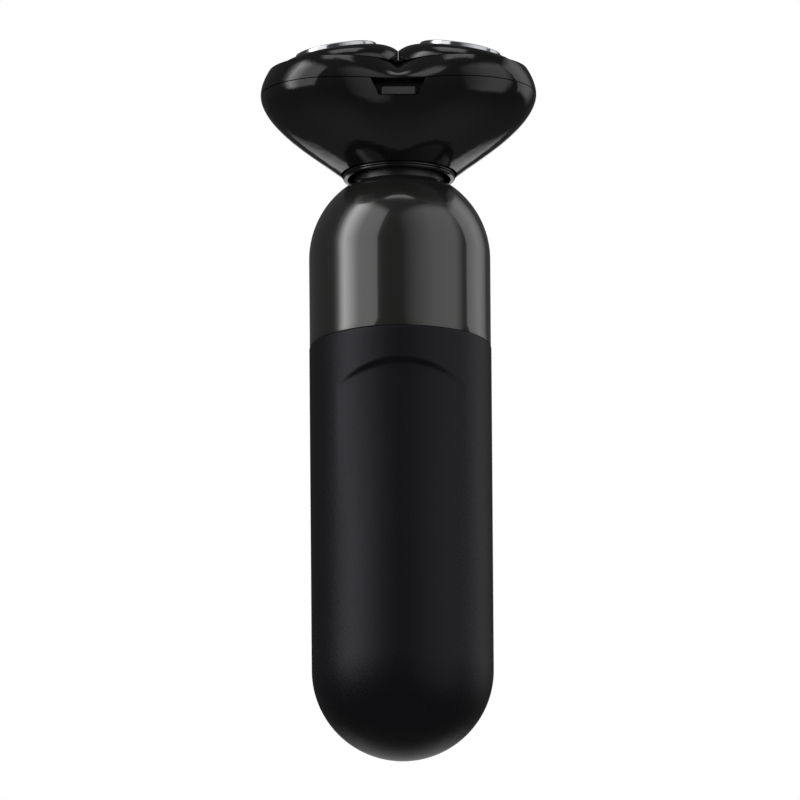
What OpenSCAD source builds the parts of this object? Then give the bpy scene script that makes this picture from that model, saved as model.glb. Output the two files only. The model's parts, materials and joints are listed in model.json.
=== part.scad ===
// Rotary electric shaver: a capsule handle with a floating three-cutter head.
// Millimetres. The origin is the lowest point of the round end and +Z runs up the handle.
// -Y is the side with the finger rest and the head's release catch, and +Y is the side with
// the power button, the charging port and the head's hinge.

/* [Handle] */
// Outside diameter of the soft-touch grip
grip_d = 38.8; // [38:0.2:48]
// Height of the grip, from its round end up to the seam
grip_h = 90.4; // [88:0.2:112]
// Wall of the grip
grip_wall = 2; // [1.8:0.1:2.4]
// Step from the grip in to the glossy upper shell
shell_step = 0.1; // [0.05:0.05:0.4]
// Straight height of the upper shell, from the seam up to its dome
shell_h = 19.5; // [18:0.5:26]
// Wall of the upper shell
shell_wall = 1.8; // [1.5:0.1:2.1]
// Radius of the flat on top of the dome, which the neck stands on
neck_flat_r = 10.9; // [10.6:0.1:12]

/* [Finger rest] */
// Depth of the finger rest at its top edge
rest_depth = 1; // [0.4:0.1:1.2]
// Half width of the finger rest
rest_half_w = 13.75; // [9:0.25:14]
// Height of the top of the finger rest's arch
rest_top_z = 83.4; // [74:0.2:86]
// Height at which the finger rest has run out into the grip
rest_end_z = 45; // [30:1:55]

/* [Power button and port] */
// Height of the power button's centre
button_z = 70; // [66:0.5:72]
// Radius of the power button
button_r = 6; // [5:0.1:6.6]
// Travel of the power button
button_travel = 0.5; // [0.3:0.05:0.6]
// Width of the light ring around the button
light_ring_w = 1.45; // [1:0.05:2]
// Height of the charging port's centre
port_z = 22.5; // [21:0.5:28]
// Width of the charging port's metal shell
port_w = 8.94; // [8.94:0.01:9.2]
// Height of the charging port's metal shell
port_h = 3.16; // [3.16:0.01:3.4]

/* [Battery, board and motor] */
// Diameter of the battery cell
cell_d = 14; // [10:0.5:15]
// Length of the battery cell
cell_len = 50; // [40:1:51]
// Width of the circuit board
board_w = 14; // [12:0.5:15]
// Thickness of the circuit board
board_t = 1.2; // [0.8:0.1:1.6]
// Diameter of the motor's can
motor_d = 24; // [20:0.5:25]
// Length of the motor's can
motor_len = 26.5; // [24:0.5:28]
// Diameter of the motor's shaft
shaft_d = 2.3; // [1.5:0.1:3]

/* [Neck and gimbal] */
// Outside radius of the neck stem
stem_r = 9.6; // [9:0.1:9.7]
// Gap from the dome's flat up to the collar
neck_gap = 1.7; // [1.6:0.1:3]
// Outside radius of the collar under the head
collar_r = 11.9; // [11.6:0.1:12.4]
// Height of the gimbal's centre above the collar's lower edge
pivot_rise = 5.5; // [5.3:0.1:6]
// Height of the gimbal ring
gimbal_h = 3; // [2.4:0.1:3.2]

/* [Head] */
// Distance from the head's axis to each cutter's axis, at the top of the cutter
cutter_circle = 15.3; // [15:0.1:16]
// Radius of the head's outline round each cutter, at the parting line
lobe_r = 16.1; // [15.6:0.1:17]
// Distance from the head's axis to the middle of its flat sides
waist_reach = 21.8; // [21.2:0.1:23]
// Height of the bowl under the parting line
bowl_h = 15.5; // [15:0.1:18]
// Wall of the bowl and of the head's cover
head_wall = 1.6; // [1.3:0.1:1.8]
// Height of the cover's frame above the parting line
cover_h = 5.2; // [4.8:0.1:6]
// Height of the cutters' tops above the parting line
cutter_rise = 10.2; // [9.8:0.1:11]
// How far the head's cover opens, in degrees
cover_opens = 100; // [60:5:105]

/* [Gears] */
// Gear module
gear_module = 0.6; // [0.55:0.01:0.62]
// Teeth of the centre gear
centre_teeth = 17; // [15:1:19]
// Teeth of each drive gear
drive_teeth = 30; // [28:1:31]
// Thickness of the gears
gear_t = 2.2; // [1.6:0.1:2.4]

/* [Cutters] */
// Outward lean of the cutters, in degrees
cutter_tilt = 10; // [8:0.5:12]
// Outside radius of a cutter's chrome cup
foil_r = 8.7; // [8:0.1:8.9]
// Slots in a cutter's shaving track
foil_slots = 40; // [24:1:60]
// Blades on an inner cutter
blades = 9; // [6:1:12]
// How far a cutter sinks in
cutter_float = 1; // [0.5:0.1:1]

/* [Hidden] */

// A cut runs this far past the surface it opens, so that no skin is left
past = 1;
// Radial clearances: a running fit, a sliding fit, and pieces that only lie inside each other
run_fit = 0.05;
slide_fit = 0.1;
loose_fit = 0.3;
// Facets of the true rounds, and points round the head's outline
$fn = 64;
outline_steps = 72;
outline_rows = 10;

// Handle shells
grip_r = grip_d / 2;
grip_in_r = grip_r - grip_wall;
shell_r = grip_r - shell_step;
shell_in_r = shell_r - shell_wall;
seam_z = grip_h;
dome_z = seam_z + shell_h;
neck_z = dome_z + sqrt(pow(shell_r, 2) - pow(neck_flat_r, 2));
neck_floor = 3;
spigot_len = 8.4;
spigot_r = grip_in_r - slide_fit;
spigot_in_r = spigot_r - 1.5;
seal_z = seam_z - 4.4;
seal_cord_r = 0.6;

// Chassis inside the shells
chassis_r = spigot_in_r - 0.4;
chassis_wall = 1.5;
chassis_in_r = chassis_r - chassis_wall;
chassis_z = grip_r - sqrt(pow(grip_in_r, 2) - pow(chassis_r + loose_fit, 2));
split_gap = 0.1;
rib_t = 2;
boss_x = chassis_in_r - 2.6;
boss_r = 2.4;
chassis_screw_zs = [chassis_z + 20, button_z + 6];

// Battery, behind the board's side of the axis
cell_r = cell_d / 2;
cell_y = -4;
cell_z = chassis_z + 4;
tab_t = 0.3;

// Board, standing behind the battery
board_y = cell_y + cell_r + 6;
board_z = chassis_z + 2;
board_top = seam_z - 10.4;
board_back = board_y + board_t;

// Button parts, along +Y
light_ring_r = button_r + slide_fit + light_ring_w;
flange_r = button_r + 0.9;
flange_back = grip_in_r - 2.5;
flange_t = 0.6;
switch_w = 6;
switch_back = board_back + 3;
plunger_r = 1.6;

// Motor
motor_r = motor_d / 2;
motor_z = seam_z - 2.9;
motor_top = motor_z + motor_len;
motor_wall = 0.8;
end_cap_h = 3;
shaft_r = shaft_d / 2;
magnet_t = 1.7;
armature_r = motor_r - motor_wall - magnet_t - 0.5;
plate_t = 1.6;
motor_boss_r = 3;
motor_screw_x = 8;

// Neck and gimbal
head_z = neck_z + neck_gap;
pivot_z = head_z + pivot_rise;
stem_in_r = stem_r - 2.6;
stem_spigot_r = stem_r - 0.8;
stem_top = pivot_z + 2.2;
gimbal_in_r = stem_r + 0.6;
gimbal_r = gimbal_in_r + 1.6;
gimbal_pin_r = 0.9;
gimbal_boss_y = gimbal_r + 0.8;
gimbal_pin_end = gimbal_boss_y + 1.3;
gimbal_boss_r = 1.6;
collar_in_r = collar_r - 0.9;
collar_h = 1.6;

// Drive coupler: a ball with a cross pin at the gimbal's centre
coupler_r = 3.2;
coupler_z = motor_top + 3.5;
coupler_neck_z = pivot_z - 4;
ball_r = 2.4;
ball_pin_r = 0.7;
ball_pin_half = 3.7;

// Head shells
bowl_z = head_z + 1.1;
bowl_neck_r = collar_r + 0.45;
bowl_bore_r = bowl_neck_r - 0.75;
parting_z = bowl_z + bowl_h;
seam_gap = 0.2;
bowl_top = parting_z - seam_gap / 2;
cover_z = parting_z + seam_gap / 2;
cover_top = parting_z + cover_h;
bowl_bulge = 1.8;
cover_bulge = 1.8;
lobe_angles = [210, 330, 90];
waist_angles = [270, 30, 150];
bezel_lobe_r = lobe_r - 1.8;

// Gear box inside the bowl
drive_circle = gear_module * (centre_teeth + drive_teeth) / 2;
plate_z = stem_top + 1.4;
gear_plate_t = 1.2;
gear_z = plate_z + gear_plate_t + 0.4;
gear_cover_z = gear_z + gear_t + 0.4;
gear_cover_top = gear_cover_z + gear_plate_t;
post_circle = 13.7;
post_r = 1.7;
screw_head_r = 1.55;
frame_r = 15.9;
frame_in_r = gimbal_r + 0.4;
frame_h = 1.4;
screw_r = 0.9;
hub_r = 4.4;
hub_z = pivot_z - 1.8;
socket_r = ball_r + 0.35;
spindle_r = 1;
drive_post_r = 2;

// Cutters: heights in a cutter's own frame are counted down from the top of its cup
cutter_z = parting_z + cutter_rise;
cup_wall = 0.4;
cup_proud = 0.8;
cup_flange_r = foil_r + 0.9;
cup_depth = 3.6;
bezel_lip = 3.1;
recess_r = cup_flange_r + 1;
seat_r = recess_r + 1.7;
seat_circle = cutter_circle - 0.4;
retainer_h = -5.4 - (cutter_float - 1);
retainer_t = 0.8;
track_in_r = 4.2;
blade_r = foil_r - cup_wall - 0.4;
inner_disc_h = -3.4;
tip_r = 1.8;
tip_pin_r = 0.5;
tip_pin_half = 2.9;
tip_h = -(cutter_circle - drive_circle) / sin(cutter_tilt);
tip_z = cutter_z - (cutter_circle - drive_circle) / tan(cutter_tilt);
tip_socket_r = tip_r + 0.6;
cutter_hub_r = 3.6;

// Hinge of the head's cover
hinge_y = cutter_circle + lobe_r + 0.6;
hinge_z = parting_z;
knuckle_r = 1.7;
knuckle_half = 3;
knuckle_gap = 0.2;
lug_half = 6.5;
bracket_reach = 2.1;
bracket_drop = 2.7;
lug_reach = 3.4;
lug_rise = 1.9;
hinge_pin_r = 0.7;

// Release catch in the notch of the bowl
notch_top_w = 12;
notch_low_w = 8.6;
notch_h = 3.6;
notch_back = waist_reach - 2.4;
notch_wall = 0.8;
catch_travel = 0.7;
catch_tab_h = 1.6;
finger_y = waist_reach - 4.8;
finger_top = cover_z + 1;
finger_t = 0.9;

// Angle from the nearest lobe's direction, between -60 and 60 degrees
function off_lobe(t) = let (m = (t - 90 + 360) % 120) m > 60 ? m - 120 : m;

// Radius of three joined circles of radius r round the cutter axes, at angle t
function lobed_r(t, r) = let (a = off_lobe(t))
    cutter_circle * cos(a) + sqrt(pow(r, 2) - pow(cutter_circle * sin(a), 2));

// The head's outline at the parting line: a triangle with three lobes and drawn-in sides
lobe_reach = cutter_circle + lobe_r;
side_reach = lobed_r(120, lobe_r);
outline_mean = (lobe_reach + waist_reach) / 4 + side_reach / 2;
outline_swing = (lobe_reach - waist_reach) / 2;
outline_fill = (lobe_reach + waist_reach) / 4 - side_reach / 2;
function outline_r(t) = outline_mean + outline_swing * cos(3 * (t - 90))
    + outline_fill * cos(6 * (t - 90));

// How far the bowl has opened out, from 0 at its foot to 1 at the parting line
function bowl_rise(h) = 1 - pow(max(1 - h, 0), bowl_bulge);

// Inside of the bowl at height z, and the outline of a plate that lies there with clearance
bowl_floor_z = bowl_z + 1;
function bowl_in_r(t, z) = let (h = (z - bowl_floor_z) / (parting_z - bowl_floor_z))
    bowl_bore_r + (outline_r(t) - head_wall - bowl_bore_r) * bowl_rise(max(h, 0));

// A closed ring of points: radii[i] at each angle, all at height z
angles = [for (i = [0:outline_steps - 1]) i * 360 / outline_steps];
function ring(radii, z) = [for (i = [0:outline_steps - 1])
    [radii[i] * cos(angles[i]), radii[i] * sin(angles[i]), z]];
function bowl_ring(h) = ring([for (t = angles)
    bowl_neck_r + (outline_r(t) - bowl_neck_r) * bowl_rise(h)], bowl_z + h * bowl_h);
function bowl_in_ring(z) = ring([for (t = angles) bowl_in_r(t, z)], z);
function cover_r(t, u) = let (k = pow(u, cover_bulge))
    outline_r(t) * (1 - k) + lobed_r(t, bezel_lobe_r) * k;
function cover_ring(u, inset) = ring([for (t = angles) cover_r(t, u) - inset],
    cover_z + u * (cover_top - cover_z));

// A gear's outline: straight-sided teeth with backlash, tooth 0 on +X
tooth_half = 0.21 * PI * gear_module;
tooth_tip = 0.8 * gear_module;
tooth_root = 1.2 * gear_module;
flank = tan(20);
function pitch_r(teeth) = gear_module * teeth / 2;
function tooth_point(teeth, i, side, out) = let (
        r = pitch_r(teeth) + out,
        half = tooth_half - out * flank,
        a = i * 360 / teeth + side * half / pitch_r(teeth) * 180 / PI)
    [r * cos(a), r * sin(a)];
function gear_points(teeth) = [for (i = [0:teeth - 1]) each [
    tooth_point(teeth, i, -1, -tooth_root),
    tooth_point(teeth, i, -1, tooth_tip),
    tooth_point(teeth, i, 1, tooth_tip),
    tooth_point(teeth, i, 1, -tooth_root)]];

// Turn of the drive gear in direction t that puts one of its gaps over a centre gear's tooth
function mesh_turn(t) = let (offset = t % (360 / centre_teeth))
    t + 180 + offset * centre_teeth / drive_teeth + 180 / drive_teeth;

// ---- Helpers ----

// A solid whose sides run through the rings of points, from the lowest up. With loop the last
// ring joins the first, and the solid is a band with a hole through it.
module skin(rings, loop = false) {
    n = len(rings[0]);
    rows = len(rings);
    sides = [for (i = [0:rows - (loop ? 1 : 2)], j = [0:n - 1]) let (
            a = i * n + j,
            b = i * n + (j + 1) % n,
            c = (i + 1) % rows * n + j,
            d = (i + 1) % rows * n + (j + 1) % n)
        each [[a, c, d], [a, d, b]]];
    foot = [for (j = [0:n - 1]) j];
    top = [for (j = [n - 1:-1:0]) (rows - 1) * n + j];
    polyhedron([for (r = rings) each r], loop ? sides : concat(sides, [foot, top]));
}

module tube(r_out, r_in, z0, z1) {
    translate([0, 0, z0])
        difference() {
            cylinder(r = r_out, h = z1 - z0);
            translate([0, 0, -past])
                cylinder(r = r_in, h = z1 - z0 + 2 * past);
        }
}

module disc(r, z0, z1) {
    translate([0, 0, z0])
        cylinder(r = r, h = z1 - z0);
}

// A cylinder along +Y
module disc_y(r, y0, y1, x = 0, z = 0) {
    translate([x, y0, z])
        rotate([-90, 0, 0])
            cylinder(r = r, h = y1 - y0);
}

// A cylinder along +X
module disc_x(r, x0, x1, y, z) {
    translate([x0, y, z])
        rotate([0, 90, 0])
            cylinder(r = r, h = x1 - x0);
}

// A box given by its low and high corners
module block(low, high) {
    translate(low)
        cube(high - low);
}

// A slot-ended bar along +Y, w wide and h high
module slot_y(w, h, y0, y1, z) {
    disc_y(h / 2, y0, y1, -(w - h) / 2, z);
    disc_y(h / 2, y0, y1, (w - h) / 2, z);
    block([-(w - h) / 2, y0, z - h / 2], [(w - h) / 2, y1, z + h / 2]);
}

// A wire through a list of points
module wire(points, r) {
    for (i = [0:len(points) - 2]) {
        span = points[i + 1] - points[i];
        translate(points[i]) {
            rotate([0, acos(span[2] / norm(span)), atan2(span[1], span[0])])
                cylinder(r = r, h = norm(span), $fn = 24);
            if (i > 0)
                sphere(r = r, $fn = 24);
        }
    }
}

// Into a cutter's own frame: Z along its leaning axis, zero at the top of its cup
module at_cutter(i) {
    rotate(lobe_angles[i])
        translate([cutter_circle, 0, cutter_z])
            rotate([0, cutter_tilt, 0])
                children();
}

module at_angles(list, circle) {
    for (t = list)
        rotate(t)
            translate([circle, 0, 0])
                children();
}

// A flat plate that fills the bowl between z0 and z1, clear of the catch's finger
module bowl_plate(z0, z1) {
    difference() {
        translate([0, 0, z0])
            linear_extrude(z1 - z0)
                polygon([for (t = angles) (bowl_in_r(t, z0) - loose_fit) * [cos(t), sin(t)]]);
        block([-7, -waist_reach, z0 - past],
            [7, -finger_y + finger_t + catch_travel + slide_fit, z1 + past]);
    }
}

// ---- Handle shells ----

module capsule_end(r, top) {
    translate([0, 0, grip_r])
        sphere(r = r);
    disc(r, grip_r, top);
}

// What the finger rest takes out of the grip: deepest under its arch and running out below
module finger_rest_cut() {
    flat_sag = grip_r - rest_depth - sqrt(pow(grip_r, 2) - pow(rest_half_w, 2));
    flat_r = (pow(rest_half_w, 2) + pow(flat_sag, 2)) / (2 * flat_sag);
    arch_r = 22.5;
    lean = atan(rest_depth / (rest_top_z - rest_end_z));
    difference() {
        disc_y(arch_r, -grip_r - past, -grip_r / 2, 0, rest_top_z - arch_r);
        translate([0, flat_r - grip_r, rest_end_z])
            rotate([-lean, 0, 0])
                translate([0, 0, -60])
                    cylinder(r = flat_r, h = 120, $fn = 128);
    }
}

module grip_sleeve() {
    color("#1b1b1e")
        difference() {
            capsule_end(grip_r, seam_z);
            capsule_end(grip_in_r, seam_z + past);
            finger_rest_cut();
            disc_y(light_ring_r + slide_fit, grip_in_r - 3, grip_r + past, 0, button_z);
            slot_y(port_w + 3.2, port_h + 3, grip_in_r - 2, grip_r + past, port_z);
        }
}

module upper_shell() {
    color("#2e2d2c")
        difference() {
            union() {
                translate([0, 0, dome_z])
                    sphere(r = shell_r);
                disc(shell_r, seam_z, dome_z);
                disc(spigot_r, seam_z - spigot_len, seam_z + 1);
            }
            disc(shell_r + past, neck_z, dome_z + shell_r + past);
            disc(shell_r, 0, seam_z - spigot_len);
            difference() {
                disc(spigot_r + past, seal_z - 0.7, seal_z + 0.7);
                disc(spigot_r - 2 * seal_cord_r + slide_fit, seal_z - 1, seal_z + 1);
            }
            disc(spigot_in_r, seam_z - spigot_len - past, seam_z + 1);
            intersection() {
                union() {
                    translate([0, 0, dome_z])
                        sphere(r = shell_in_r);
                    disc(shell_in_r, seam_z + 1, dome_z);
                }
                disc(shell_in_r + past, seam_z + 1, neck_z - neck_floor);
            }
            disc(stem_spigot_r + run_fit, neck_z - neck_floor - past, neck_z + past);
        }
}

module case_seal() {
    color("#3a3a3a")
        translate([0, 0, seal_z])
            rotate_extrude()
                translate([spigot_r - seal_cord_r + slide_fit, 0])
                    circle(r = seal_cord_r, $fn = 24);
}

// ---- Chassis ----

// Ring wall, ribs and screw bosses of the whole chassis, before it is split and cut out
module chassis_body() {
    tube(chassis_r, chassis_in_r, chassis_z, motor_top);
    for (z = [cell_z + 2, cell_z + cell_len / 2, cell_z + cell_len - 4])
        tube(chassis_r - 0.5, cell_r, z, z + rib_t);
    disc(chassis_r - 0.5, chassis_z, chassis_z + rib_t);
    tube(chassis_r - 0.5, motor_r - 3, motor_z - end_cap_h - rib_t, motor_z - end_cap_h);
    for (z = [motor_z + 2, motor_top - 6])
        tube(chassis_r - 0.5, motor_r + slide_fit, z, z + rib_t);
    for (x = [-boss_x, boss_x], z = chassis_screw_zs)
        disc_y(boss_r, -chassis_in_r / 2 - 1.6, chassis_in_r / 2 + 1.6, x, z);
}

// Room that the battery, the board and their wires take out of the chassis
module chassis_room() {
    translate([0, cell_y, 0])
        disc(cell_r + slide_fit, cell_z - 1, cell_z + cell_len + 1);
    block([-cell_r, cell_y, cell_z - 1], [cell_r, board_y, cell_z + cell_len + 1]);
    block([-board_w / 2 - slide_fit, board_y - 1.2, board_z - slide_fit],
        [board_w / 2 + slide_fit, board_back + 2, board_top + 0.5]);
    block([-board_w / 2 - slide_fit, board_y - 4, board_top - 8],
        [board_w / 2 + slide_fit, board_back + 2, motor_z]);
    disc_y(flange_r + 1.2, board_back, chassis_r + past, 0, button_z);
    slot_y(port_w + 1.6, port_h + 1.6, board_back, chassis_r + past, port_z);
}

module chassis_screw_holes(r) {
    for (x = [-boss_x, boss_x], z = chassis_screw_zs)
        disc_y(r, -chassis_in_r / 2 - 1.6 + 1.2, chassis_in_r / 2 - 1, x, z);
}

module chassis_half(side) {
    difference() {
        intersection() {
            chassis_body();
            block([-grip_r, side > 0 ? split_gap : -grip_r, 0],
                [grip_r, side > 0 ? grip_r : -split_gap, dome_z + shell_r]);
        }
        chassis_room();
        chassis_screw_holes(screw_r + slide_fit);
        for (x = [-boss_x, boss_x], z = chassis_screw_zs)
            disc_y(boss_r - 0.4, -grip_r, -chassis_in_r / 2 - 0.4, x, z);
    }
}

module chassis_front() {
    color("#c9c9c4")
        chassis_half(-1);
}

module chassis_rear() {
    color("#bfbfba")
        chassis_half(1);
}

module chassis_screws() {
    color("#9a9a9a") {
        chassis_screw_holes(screw_r);
        for (x = [-boss_x, boss_x], z = chassis_screw_zs)
            difference() {
                disc_y(1.7, -chassis_in_r / 2 - 1.4, -chassis_in_r / 2 - 0.4, x, z);
                disc_y(0.8, -chassis_in_r / 2 - 2, -chassis_in_r / 2 - 0.9, x, z, $fn = 6);
            }
    }
}

// ---- Power and electronics ----

module battery_cell() {
    color("#3f7f5a")
        translate([0, cell_y, 0]) {
            disc(cell_r, cell_z, cell_z + cell_len - 0.6);
            disc(cell_r - 1, cell_z + cell_len - 0.6, cell_z + cell_len - 0.3);
            disc(2.6, cell_z + cell_len - 0.3, cell_z + cell_len);
        }
}

module battery_tabs() {
    color("#c8c8c8")
        for (z = [cell_z - tab_t, cell_z + cell_len]) {
            translate([0, cell_y, 0])
                disc(3.4, z, z + tab_t);
            block([-2, cell_y, z], [2, board_y, z + tab_t]);
        }
}

module circuit_board() {
    color("#1f6b3a")
        difference() {
            block([-board_w / 2, board_y, board_z], [board_w / 2, board_back, board_top]);
            for (x = [-board_w / 2 + 1.6, board_w / 2 - 1.6], z = [board_z + 1.6, board_top - 1.6])
                disc_y(0.8, board_y - past, board_back + past, x, z, $fn = 24);
        }
}

// The control chip, the charging chip, a coil, a row of small passives and two status lights
module board_chips() {
    color("#262626") {
        block([-2.5, board_back, button_z - 16], [2.5, board_back + 1, button_z - 11]);
        block([-2, board_back, port_z + 9], [2, board_back + 0.9, port_z + 13]);
        block([-5.5, board_back, port_z + 16], [-1.5, board_back + 1.6, port_z + 20]);
        for (i = [0:4])
            block([4, board_back, port_z + 8 + 3 * i], [5.6, board_back + 0.6, port_z + 8.9 + 3 * i]);
        for (x = [-5.4, 5.4])
            block([x - 0.6, board_back, button_z + 3.6], [x + 0.6, board_back + 0.9, button_z + 5.4]);
    }
}

module tact_switch() {
    color("#b8b8b8")
        difference() {
            block([-switch_w / 2, board_back, button_z - switch_w / 2],
                [switch_w / 2, switch_back, button_z + switch_w / 2]);
            disc_y(plunger_r + slide_fit, switch_back - 1.6, switch_back + past, 0, button_z);
        }
}

module usb_port() {
    mouth = grip_in_r + 0.4;
    color("#b9bcc0") {
        difference() {
            slot_y(port_w, port_h, board_back, mouth, port_z);
            slot_y(port_w - 0.6, port_h - 0.6, board_back + 1, mouth + past, port_z);
        }
        block([-3.3, board_back + 0.5, port_z - 0.35], [3.3, mouth - 0.8, port_z + 0.35]);
    }
}

module port_seal() {
    color("#161618")
        difference() {
            intersection() {
                slot_y(port_w + 3, port_h + 2.8, grip_in_r - 1.6, grip_r, port_z);
                disc(grip_r - 0.1, port_z - 6, port_z + 6);
            }
            slot_y(port_w + 0.2, port_h + 0.2, grip_in_r - 3, grip_in_r + 1, port_z);
            slot_y(port_w + 0.7, port_h + 0.7, grip_in_r + 0.4, grip_r + past, port_z);
        }
}

module light_ring() {
    color("#dfe8f2")
        difference() {
            intersection() {
                disc_y(light_ring_r, flange_back + flange_t + slide_fit, grip_r, 0, button_z);
                disc(grip_r - 0.05, button_z - 10, button_z + 10);
            }
            disc_y(button_r + slide_fit, grip_in_r - 5, grip_r + past, 0, button_z);
        }
}

module power_button() {
    color("#232326") {
        difference() {
            intersection() {
                disc_y(button_r, flange_back + flange_t, grip_r, 0, button_z);
                disc(grip_r - 0.15, button_z - 10, button_z + 10);
            }
            // A shallow thumb dish with a round floor
            translate([0, grip_r + 17.4, button_z])
                sphere(r = 18, $fn = 96);
        }
        disc_y(flange_r, flange_back, flange_back + flange_t, 0, button_z);
        disc_y(1.4, switch_back + 0.9, flange_back, 0, button_z);
    }
}

module switch_plunger() {
    color("#202020")
        disc_y(plunger_r, switch_back - 0.9, switch_back + 0.9, 0, button_z);
}

// ---- Motor ----

module motor_can() {
    color("#a9adb2")
        difference() {
            union() {
                disc(motor_r, motor_z, motor_top);
                disc(motor_boss_r, motor_top - 0.1, motor_top + 1.4);
            }
            disc(motor_r - motor_wall, motor_z - past, motor_top - motor_wall);
            disc(motor_boss_r - 0.8, motor_top - 2, motor_top + 2.4);
            for (x = [-motor_screw_x, motor_screw_x])
                translate([x, 0, 0])
                    disc(screw_r, motor_top - 2, motor_top + past);
        }
}

module motor_magnets() {
    color("#4a4a4d")
        difference() {
            tube(motor_r - motor_wall - run_fit, motor_r - motor_wall - magnet_t,
                motor_z + 3, motor_top - 4);
            for (s = [-1, 1])
                block([-3, s > 0 ? 1 : -motor_r - 1, motor_z], [3, s > 0 ? motor_r + 1 : -1, motor_top]);
        }
}

module motor_end_cap() {
    color("#e6e3da")
        difference() {
            union() {
                disc(motor_r - 0.1, motor_z - end_cap_h, motor_z);
                disc(motor_r - motor_wall - 0.1, motor_z - 0.1, motor_z + 1);
            }
            disc(motor_boss_r - 0.8, motor_z - end_cap_h - past, motor_z + 2);
        }
}

module motor_bushings() {
    color("#b5793a") {
        tube(motor_boss_r - 0.8, shaft_r + run_fit, motor_top - motor_wall, motor_top + 1.4);
        tube(motor_boss_r - 0.8, shaft_r + run_fit, motor_z - end_cap_h + 0.6, motor_z + 1);
    }
}

module motor_leads() {
    color("#8c1d18")
        for (x = [-4.6, 4.6])
            wire([[x, 5, motor_z - end_cap_h], [x, 5, board_top - 1], [x, board_y - 2, board_top - 3],
                [x, board_y, board_top - 3]], 0.55);
}

module motor_plate() {
    color("#8d9095")
        difference() {
            disc(chassis_r - 0.2, motor_top, motor_top + plate_t);
            disc(motor_boss_r + slide_fit, motor_top - past, motor_top + 3);
            for (x = [-motor_screw_x, motor_screw_x])
                translate([x, 0, 0])
                    disc(screw_r + slide_fit, motor_top - past, motor_top + 3);
            for (s = [-1, 1])
                block([-4, s > 0 ? 9 : -20, motor_top - past], [4, s > 0 ? 20 : -9, motor_top + 3]);
        }
}

module motor_screws() {
    color("#9a9a9a")
        for (x = [-motor_screw_x, motor_screw_x])
            translate([x, 0, 0])
                difference() {
                    union() {
                        disc(screw_r, motor_top - motor_wall, motor_top + plate_t + 0.1);
                        disc(1.8, motor_top + plate_t, motor_top + plate_t + 1.1);
                    }
                    disc(0.7, motor_top + plate_t + 0.5, motor_top + plate_t + 2, $fn = 6);
                }
}

module motor_shaft() {
    color("#c6c9cd")
        disc(shaft_r, motor_z - end_cap_h + 0.8, coupler_z + 6);
}

module motor_armature() {
    low = motor_z + 4;
    high = motor_top - 5;
    color("#77797c")
        difference() {
            union() {
                tube(3, shaft_r, low, high);
                for (t = [0, 120, 240])
                    rotate(t) {
                        block([2, -1.4, low], [armature_r - 1, 1.4, high]);
                        intersection() {
                            tube(armature_r, armature_r - 1.6, low, high);
                            linear_extrude(high)
                                polygon([[0, 0], [20, 22], [20, -22]]);
                        }
                    }
            }
            disc(shaft_r, low - past, high + past);
        }
}

module motor_windings() {
    low = motor_z + 4.6;
    high = motor_top - 5.6;
    color("#b0622c") {
        for (t = [0, 120, 240])
            rotate(t)
                difference() {
                    block([3.4, -2.6, low - 1.4], [armature_r - 2.6, 2.6, high + 1.4]);
                    block([3, -1.5, low - 0.7], [armature_r, 1.5, high + 0.7]);
                }
        tube(2.4, shaft_r, motor_z + 1.3, motor_z + 2.9);
    }
}

// ---- Drive and neck ----

module drive_coupler() {
    color("#dcdad2")
        difference() {
            union() {
                disc(coupler_r, coupler_z, coupler_neck_z);
                disc(1.5, coupler_neck_z - 0.1, pivot_z);
                translate([0, 0, pivot_z]) {
                    sphere(r = ball_r);
                    disc_x(ball_pin_r, -ball_pin_half, ball_pin_half, 0, 0, $fn = 32);
                }
            }
            disc(shaft_r, coupler_z - past, coupler_z + 6);
        }
}

module neck_stem() {
    color("#141415")
        difference() {
            union() {
                disc(stem_spigot_r, neck_z - neck_floor - 2, neck_z + 1);
                disc(stem_r, neck_z, stem_top);
            }
            disc(stem_in_r, neck_z - 10, stem_top + past);
            disc_x(gimbal_pin_r + run_fit, -stem_r - past, stem_r + past, 0, pivot_z);
        }
}

module neck_nut() {
    color("#2a2a2c")
        difference() {
            translate([0, 0, neck_z - neck_floor - 2])
                cylinder(r = stem_spigot_r + 2.6, h = 2, $fn = 8);
            disc(stem_spigot_r, neck_z - 8, neck_z);
        }
}

module shaft_seal() {
    color("#3b3b3d")
        difference() {
            tube(stem_in_r, coupler_r + 0.9, neck_z - 2.4, neck_z);
            disc(stem_in_r - 1, neck_z - 1.2, neck_z + past);
        }
    color("#3b3b3d")
        tube(coupler_r + 1.1, coupler_r + slide_fit, neck_z - 2.4, neck_z - 1.6);
}

module gimbal_ring() {
    color("#8f9398")
        difference() {
            tube(gimbal_r, gimbal_in_r, pivot_z - gimbal_h / 2, pivot_z + gimbal_h / 2);
            disc_x(gimbal_pin_r, -gimbal_r - past, gimbal_r + past, 0, pivot_z);
            disc_y(gimbal_pin_r, -gimbal_r - past, gimbal_r + past, 0, pivot_z);
        }
}

module gimbal_pins() {
    color("#c6c9cd")
        for (s = [0, 180])
            rotate(s) {
                disc_x(gimbal_pin_r, stem_in_r + 0.6, gimbal_r - 0.2, 0, pivot_z);
                disc_y(gimbal_pin_r, gimbal_in_r + 0.2, gimbal_pin_end, 0, pivot_z);
            }
}

// ---- Head base ----

// Two rounded lips with a groove between them, and a spigot that goes up into the bowl
module neck_collar() {
    lip = (bowl_z - head_z) / 2;
    color("#151516")
        translate([0, 0, head_z])
            rotate_extrude() {
                for (z = [lip / 2, lip * 1.5])
                    translate([collar_r - lip / 2, z])
                        circle(r = lip / 2, $fn = 24);
                translate([collar_in_r, 0])
                    square([collar_r - lip / 2 - collar_in_r, 2 * lip]);
                translate([collar_in_r, lip])
                    square([bowl_bore_r - run_fit - collar_in_r, collar_h - lip]);
            }
}

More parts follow.
